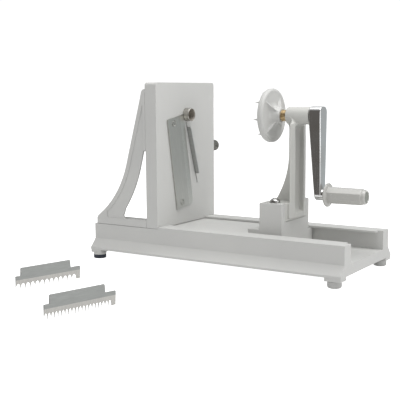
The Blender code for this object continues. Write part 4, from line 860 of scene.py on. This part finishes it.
def make_foot_cup(node):
    """The tray's shallow cup round a rubber foot."""
    low, high = span(node)
    radius = (high.x - low.x) / 2
    profile = [(level, radius + out) for level, out in FOOT_CUP]
    make_piece("base_tray", [lathe('Z', middle_of(node), profile, steps=64, loop=True)], "white_plastic",
               name=node + "_cup")


def make_feet():
    """Four feet, and the cups of the rubber ones."""
    for kind, (finish, rounding) in FEET.items():
        for side in SIDES:
            make_foot(side + kind, finish, rounding)
    for side in SIDES:
        make_foot_cup(side + "rubber_foot")


def rib_rise(aside):
    """How much of a rib's height stands at a distance from its middle."""
    if aside < RIB_HALF:
        return 1.0
    if aside < RIB_DRAFT:
        return 1.0 - (1.0 - RIB_FILLET_SHARE) * ((aside - RIB_HALF) / (RIB_DRAFT - RIB_HALF)) ** RIB_FLANK_BOW
    if aside < RIB_FILLET:
        return RIB_FILLET_SHARE * ((RIB_FILLET - aside) / (RIB_FILLET - RIB_DRAFT)) ** 2
    return 0.0


def ribbed_depth(radius, turn, base):
    """The depth of the disc's back at a radius and a turn, with the nearest rib on it."""
    if radius < RIB_ROOT:
        return base
    share = max(0.0, (RIB_REACH - radius) / (RIB_REACH - RIB_ROOT))
    top = RIB_FOOT + (RIB_TOP - RIB_FOOT) * share ** RIB_CREST_BOW
    away = abs((turn - RIB_PHASE + RIB_STEP / 2) % RIB_STEP - RIB_STEP / 2)
    return base + max(0.0, top - base) * rib_rise(radius * sin(away))


def make_disc():
    """Hub, dished disc, rounded rim and ribs in one skin, and eight tapering prongs."""
    hub_end = span("prong_disc")[1].x
    steps = [side * step for step in RIB_TURNS for side in ((1, -1) if step else (1,))]
    turns = sorted(RIB_PHASE + radians(360 / RIB_COUNT * sector + step)
                   for sector in range(RIB_COUNT) for step in steps)
    depths = [(radius, [ribbed_depth(radius, turn, back) for turn in turns]) for back, radius in DISC_BACK]
    depths += [(radius, [back] * len(turns)) for back, radius in DISC_RIM]
    rings = [[(hub_end + depth, SHAFT.y - radius * cos(turn), SHAFT.z + radius * sin(turn))
              for depth, turn in zip(ring, turns)] for radius, ring in depths]
    shells = [skin(rings)]
    for index in range(PRONG_COUNT):
        turn = PRONG_PHASE + 2 * pi / PRONG_COUNT * index
        at = (0, SHAFT.y - PRONG_CIRCLE * cos(turn), SHAFT.z + PRONG_CIRCLE * sin(turn))
        profile = [(hub_end - PRONG_START - along, radius) for along, radius in PRONG_PROFILE]
        shells.append(lathe('X', at, profile, steps=20))
    make_piece("prong_disc", shells, "white_plastic", angle=50)


def make_bushes():
    """A brass bush in each end of the housing, with a groove."""
    for node in ("front_bush", "rear_bush"):
        low, high = span(node)
        outer = (high.y - low.y) / 2
        profile = [(low.x + BUSH_LOW_CHAMFER, outer), (low.x, outer - BUSH_LOW_CHAMFER), (low.x, BUSH_BORE),
                   (high.x, BUSH_BORE), (high.x, outer - BUSH_HIGH_CHAMFER),
                   (high.x - BUSH_HIGH_CHAMFER, outer)]
        profile += [(low.x + along, outer - depth) for along, depth in BUSH_GROOVE]
        make_piece(node, [lathe('X', SHAFT, profile, steps=72, loop=True)], "brass")


def on_knife(shell, out=0.0):
    """From (across, up, out of the plate) to the model's own directions."""
    return moved(shell, KNIFE_TURN, (KNIFE_AT[0] + out, KNIFE_AT[1], KNIFE_AT[2]))


def make_knife():
    """A flat blade with a ground edge, notched round the coring tube."""
    wide, high = KNIFE_HALF
    outline = [(wide, -high)] + arc(NOTCH_MIDDLE, NOTCH_RADIUS, NOTCH_FROM, NOTCH_TO, 12)
    outline += arc((KNIFE_CORNER - wide, high - KNIFE_CORNER), KNIFE_CORNER, pi / 2, pi, 4)
    outline += arc((KNIFE_CORNER - wide, KNIFE_CORNER - high), KNIFE_CORNER, pi, 3 * pi / 2, 4)
    blade = new_piece("straight_knife_piece", [prism('Z', outline, 0.0, KNIFE_THICK)])
    split_across(blade, (BEVEL_FROM, 0, 0), (1, 0, 0))
    slope = (KNIFE_THICK - KNIFE_EDGE) / (wide - BEVEL_FROM)
    for vertex in blade.data.vertices:
        across = vertex.co.x / MM
        if across > BEVEL_FROM and vertex.co.z > 0:
            vertex.co.z = (KNIFE_THICK - slope * (across - BEVEL_FROM)) * MM
    blade.data.transform(Matrix.Translation(Vector(KNIFE_AT) * MM) @ KNIFE_TURN.to_4x4())
    for side in (-1, 1):
        spot = (SCREW_SPOT[0], side * SCREW_SPOT[1], 0)
        cut(blade, on_knife(lathe('Z', spot, KNIFE_HOLE, steps=48)))
    dress(blade, "blade_steel", "straight_knife", angle=12)
    grind(blade, "ground_steel", Vector((1, 0, 0)), back=True)
    soften(blade, KNIFE_ROUNDING, segments=2, angle=40)


def make_knife_screws():
    """Flat heads with a ring and a slot, level with the blade."""
    for side, node in ((-1, "lower_knife_screw"), (1, "upper_knife_screw")):
        spot = (SCREW_SPOT[0], side * SCREW_SPOT[1], 0)
        screw = new_piece(node + "_piece", [on_knife(lathe('Z', spot, SCREW_FACE, steps=48), KNIFE_THICK)])
        slot = moved(block(*SCREW_SLOT), Matrix.Rotation(radians(SCREW_TURN * side), 3, 'Z'), spot)
        cut(screw, on_knife(slot, KNIFE_THICK))
        dress(screw, "blade_steel", node, angle=25)


def make_tube():
    """A short thin-walled tube with a sharpened lip and its collar, and a duller sheet inside it painted
    darker as painted shade in the bore.
    """
    turn_piece("coring_tube", SHAFT, TUBE, "tube_steel", angle=25)
    # A sheet over the tube's inside, painted darker: painted shade in the bore.
    turn_piece("coring_tube", SHAFT, BORE_SHADE_SHEET, "bore_steel_painted_shade", name="coring_tube_bore_shade")


def make_knob():
    """A knurled knob with turned-down ends."""
    low, high = span("clamp_knob")
    at = (low + high) / 2
    radius = (high.x - low.x) / 2
    rings = []
    for level in range(KNOB_LEVELS + 1):
        along = low.y + (high.y - low.y) * level / KNOB_LEVELS
        edge = min(along - low.y, high.y - along)
        ring = []
        for index in range(KNOB_AROUND):
            turn = 2 * pi * index / KNOB_AROUND
            lines, lean = KNURL_LINES * turn, KNURL_LEAN * along
            hollow = 1 - abs(sin(lines + lean) * sin(lines - lean))
            out = radius - (KNURL_DEPTH * hollow if edge > KNOB_END else KNOB_END_DEPTH)
            out -= max(0.0, KNOB_CHAMFER - edge)
            ring.append((at.x + out * cos(turn), along, at.z + out * sin(turn)))
        rings.append(ring)
    make_piece("clamp_knob", [skin(rings)], "knob_steel", angle=60)


def comb_shoulder(end, tab_end, side):
    """A comb's outline from one end of its strip to the top of its tab."""
    outline = [(end, STRIP_TOP - STRIP_CORNER), (end - side * STRIP_CORNER, STRIP_TOP)]
    outline += [(tab_end + side * out, STRIP_TOP + up) for out, up in TAB_FOOT]
    outline += [(tab_end, COMB_TOP - TAB_CORNER), (tab_end - side * TAB_CORNER, COMB_TOP)]
    return outline


def comb_outline(teeth):
    """Needle teeth with round throats, under a strip and a tab."""
    left, right = -COMB_LENGTH / 2, COMB_LENGTH / 2
    tab_left = left + TAB_FROM
    outline = [(right, BLOCK_FOOT)] + comb_shoulder(right, tab_left + TAB_LENGTH, 1)
    outline += reversed(comb_shoulder(left, tab_left, -1))
    pitch = (COMB_LENGTH - COMB_BLOCK) / teeth
    reach = pitch / 2 - TIP_HALF
    for tooth in range(teeth):
        start = left + pitch * tooth
        outline += [(start, TIP_RISE), (start + TIP_HALF, 0.0), (start + 2 * TIP_HALF, TIP_RISE)]
        middle = start + TIP_HALF + pitch / 2
        for step in range(1, THROAT_STEPS):
            turn = pi - pi * step / THROAT_STEPS
            height = TIP_RISE + (TOOTH_LENGTH - TIP_RISE) * sin(turn) ** THROAT_BOW
            outline.append((middle + reach * cos(turn), height))
    outline.append((right - COMB_BLOCK, BLOCK_FOOT))
    return outline


def make_comb(node, teeth, turn, at, finish):
    """A comb whose teeth are ground thinner towards their tips, on the side that it faces."""
    comb = new_piece(node + "_piece", [prism('Z', comb_outline(teeth), -COMB_THICK / 2, COMB_THICK / 2)])
    split_across(comb, (0, GROUND_TOP, 0), (0, 1, 0))
    fall = (COMB_THICK - TIP_THICK) / GROUND_TOP
    for vertex in comb.data.vertices:
        height = vertex.co.y / MM
        if vertex.co.z > 0 and height < GROUND_TOP:
            vertex.co.z -= fall * (GROUND_TOP - height) * MM
    comb.data.transform(Matrix.Translation(Vector(at) * MM) @ turn.to_4x4())
    dress(comb, finish, node, angle=20)
    grind(comb, "tooth_steel", turn @ Vector((0, 0, 1)))
    soften(comb, COMB_ROUNDING, segments=2, angle=40)


def make_combs():
    """The comb in its slot, and two on the table, standing on their teeth."""
    upward = Vector((0, -sin(SLOT_TILT), cos(SLOT_TILT)))
    across = Vector((0, cos(SLOT_TILT), sin(SLOT_TILT)))
    turn = Matrix((-upward, (1, 0, 0), -across)).transposed()
    # The fitted comb's steel is painted lighter than the loose combs': painted light.
    make_comb("fitted_comb", COARSE_TEETH, turn, FITTED_MIDDLE, "fitted_steel_painted_light")
    heading = Vector((cos(LOOSE_HEADING), sin(LOOSE_HEADING), 0))
    facing = Vector((sin(LOOSE_HEADING), -cos(LOOSE_HEADING), 0))
    turn = Matrix((heading, (0, 0, 1), facing)).transposed()
    for node, teeth in (("coarse_comb", COARSE_TEETH), ("fine_comb", FINE_TEETH)):
        at = middle_of(node)
        make_comb(node, teeth, turn, (at.x, at.y, 0), "comb_steel")


def make_column_foot():
    """A sharp block with a recess for the casting."""
    low, high = span("column")
    foot = new_piece("column_piece", [block(low, (high.x - HOUSING_OVERHANG, high.y, BLOCK_TOP))])
    cut(foot, block((STEM_FRONT - RECESS_DEPTH, SHAFT.y - RECESS_HALF, RECESS_FLOOR),
                    (STEM_FRONT, SHAFT.y + RECESS_HALF, RECESS_PAST)))
    dress(foot, "column_plastic", "column")
    soften(foot, BLOCK_EDGE)


def shoulders():
    """The stem's sloping top, narrowing up to the housing and leaning back to it."""
    mid = SHAFT.y
    back = STEM_FRONT - SHOULDER_BACK
    levels = []
    for out, up in SHOULDER_CURVE:
        face = STEM_FRONT - SHOULDER_LEAN * max(0.0, up)
        edge = face - STEM_FALL * max(0.0, out - STEM_FLAT) / (STEM_HALF - STEM_FLAT)
        flat = min(out - SHOULDER_EDGE, STEM_FLAT)
        level = STEM_TOP + up
        levels.append([(edge, mid - out, level), (face, mid - flat, level), (face, mid + flat, level),
                       (edge, mid + out, level), (back, mid + SHOULDER_BACK_HALF, level),
                       (back, mid - SHOULDER_BACK_HALF, level)])
    return skin(levels)


def casting_shells():
    """The stem with its skirts and ramp, the web, the housing, the shoulders and the throats."""
    mid = SHAFT.y
    back, ahead = HOUSING
    section = [(STEM_FRONT + along, mid + aside) for along, aside in STEM_SECTION]
    skirts = [block((SKIRT_FROM, mid + near, STEM_FOOT), (SKIRT_TO, mid + far, BLOCK_TOP))
              for near, far in ((-STEM_HALF, -SKIRT_INNER), (SKIRT_INNER, STEM_HALF))]
    web = [(STEM_FRONT - WEB_START, STEM_TOP), (STEM_FRONT - WEB_START, WEB_FOOT)] + WEB_CURVE
    web += [(back + along, STEM_TOP + up) for along, up in WEB_ROUND]
    ramp, *throats = [prism('Y', [(STEM_FRONT + along, up) for along, up in outline], mid - half, mid + half)
                      for outline, half in ((RAMP, RAMP_HALF), (THROAT, THROAT_HALF),
                                            (SIDE_THROAT, SIDE_THROAT_HALF))]
    wall = [(back, HOUSING_BORE), (back, HOUSING_RADIUS), (ahead, HOUSING_RADIUS), (ahead, HOUSING_BORE)]
    return [prism('Z', section, STEM_FOOT, STEM_TOP), *skirts, ramp,
            prism('Y', web, mid - WEB_HALF, mid + WEB_HALF),
            lathe('X', SHAFT, wall, loop=True), shoulders(), *throats]


def make_casting():
    """The stem, web and housing in one blended skin, smoothest at its head."""
    casting = new_piece("column_casting", casting_shells())
    add_modifier(casting, 'REMESH', mode='VOXEL', voxel_size=CASTING_GRAIN * MM)
    settle(casting)
    head = casting.vertex_groups.new(name="head")
    for vertex in casting.data.vertices:
        along, up = vertex.co.x / MM, vertex.co.z / MM
        inside = min(along - HEAD_ALONG[0], HEAD_ALONG[1] - along, up - HEAD_UP[0], HEAD_UP[1] - up)
        if inside > 0:
            head.add([vertex.index], min(1.0, inside / HEAD_FADE), 'REPLACE')
    add_modifier(casting, 'SMOOTH', factor=0.5, iterations=CASTING_SMOOTHING)
    add_modifier(casting, 'SMOOTH', factor=0.5, iterations=HEAD_SMOOTHING, vertex_group="head")
    settle(casting)
    casting.vertex_groups.clear()
    dress(casting, "column_plastic", "column", angle=180)


def make_column_screws():
    """Dome heads with a socket, on plain shanks."""
    for node in ("near_column_screw", "far_column_screw"):
        low, high = span(node)
        profile = between(low.z, high.z, SOCKET)
        for step in range(DOME_STEPS + 1):
            turn = radians(DOME_FROM + DOME_STEP * step)
            profile.append((DOME_BASE + DOME_LIFT + DOME_HEIGHT * cos(turn), DOME_RADIUS * sin(turn)))
        profile += [(DOME_BASE + up, radius) for up, radius in DOME_FOOT]
        profile += between(low.z, high.z, SHANK)
        shell = lathe('Z', middle_of(node), profile, steps=64)
        make_piece(node, [shell], "screw_steel", angle=35)


def crank_outline():
    """The arm from its near top corner round by its low end, and how many points its top has."""
    mid, high_z, low_z = SHAFT.y, SHAFT.z, HANDLE.z
    aside = CRANK_HALF - CRANK_CORNER
    reach = CRANK_TOP_HALF - CRANK_CORNER
    top = arc((mid + aside, high_z + reach), CRANK_CORNER, 0, pi / 2, 8)
    top += arc((mid - aside, high_z + reach), CRANK_CORNER, pi / 2, pi, 8)
    narrowing = CRANK_HALF - CRANK_LOW_RADIUS
    taper = narrowing / (high_z - low_z + reach)
    lean = narrowing / (high_z - low_z)
    bend = high_z - CRANK_HALF / 2
    bend_half = CRANK_HALF - taper * (high_z + reach - bend)
    low_half = CRANK_LOW_RADIUS + taper * CRANK_STRAIGHT
    low_end = arc((mid, low_z), CRANK_LOW_RADIUS, pi + lean, 2 * pi - lean, 24)
    side = ((bend_half, bend), (low_half, low_z + CRANK_STRAIGHT))
    outline = top + [(mid - half, z) for half, z in side] + low_end
    outline += [(mid + half, z) for half, z in reversed(side)]
    return outline, len(top)


def make_crank():
    """A tapering polished arm, its back bent where it thins, with square shoulders and a boss."""
    outline, left = crank_outline()
    bend = outline[left][1]
    slope = (CRANK_FRONT - CRANK_LOW_THICK - CRANK_BACK) / (SHAFT.z - HANDLE.z)
    front = [(CRANK_FRONT, y, z) for y, z in outline]
    back = [(CRANK_BACK + slope * max(0.0, bend - z), y, z) for y, z in outline]
    points, faces = skin([back, front])
    right = len(outline) - 1
    back_cap = faces.index(tuple(reversed(range(len(outline)))))
    faces[back_cap:back_cap + 1] = [(right, *range(left, -1, -1)), tuple(range(right, left - 1, -1))]
    arm = make_piece("crank_arm", [(points, faces)], "crank_chrome")
    soften(arm, CRANK_EDGE, segments=5)
    boss = between(CRANK_FRONT, BOSS_END, BOSS)
    make_piece("crank_arm", [lathe('X', HANDLE, boss, steps=72, loop=True)], "crank_chrome",
               angle=35, name="crank_boss")


def make_grip():
    """An eight-sided grip with crisp flats, and its round collar."""
    low, high = span("grip")
    corner = GRIP_ACROSS / 2 / cos(pi / GRIP_SIDES)
    rings = [circle('X', HANDLE, along, corner * share, GRIP_SIDES, pi / GRIP_SIDES)
             for along, share in between(low.x, high.x, GRIP_RINGS)]
    body = make_piece("grip", [skin(rings)], "grip_plastic")
    soften(body, GRIP_EDGE)
    turn_piece("grip", HANDLE, COLLAR, "grip_plastic", angle=40, name="grip_collar")


def make_cap():
    """A round cap: a raised rim round a darker sunken face."""
    turn_piece("grip_cap", HANDLE, CAP_RIM, "grip_plastic", steps=72, angle=45)
    turn_piece("grip_cap", HANDLE, CAP_FACE, "cap_plastic", steps=72, loop=False, angle=45,
               name="grip_cap_face")


make_camera()
make_room()
make_lights()
make_floor()
make_cards()
FINISHES = make_finishes()
make_plain_pieces()
make_tray()
make_feet()
make_disc()
make_bushes()
make_knife()
make_knife_screws()
make_tube()
make_knob()
make_combs()
make_column_foot()
make_casting()
make_column_screws()
make_crank()
make_grip()
make_cap()
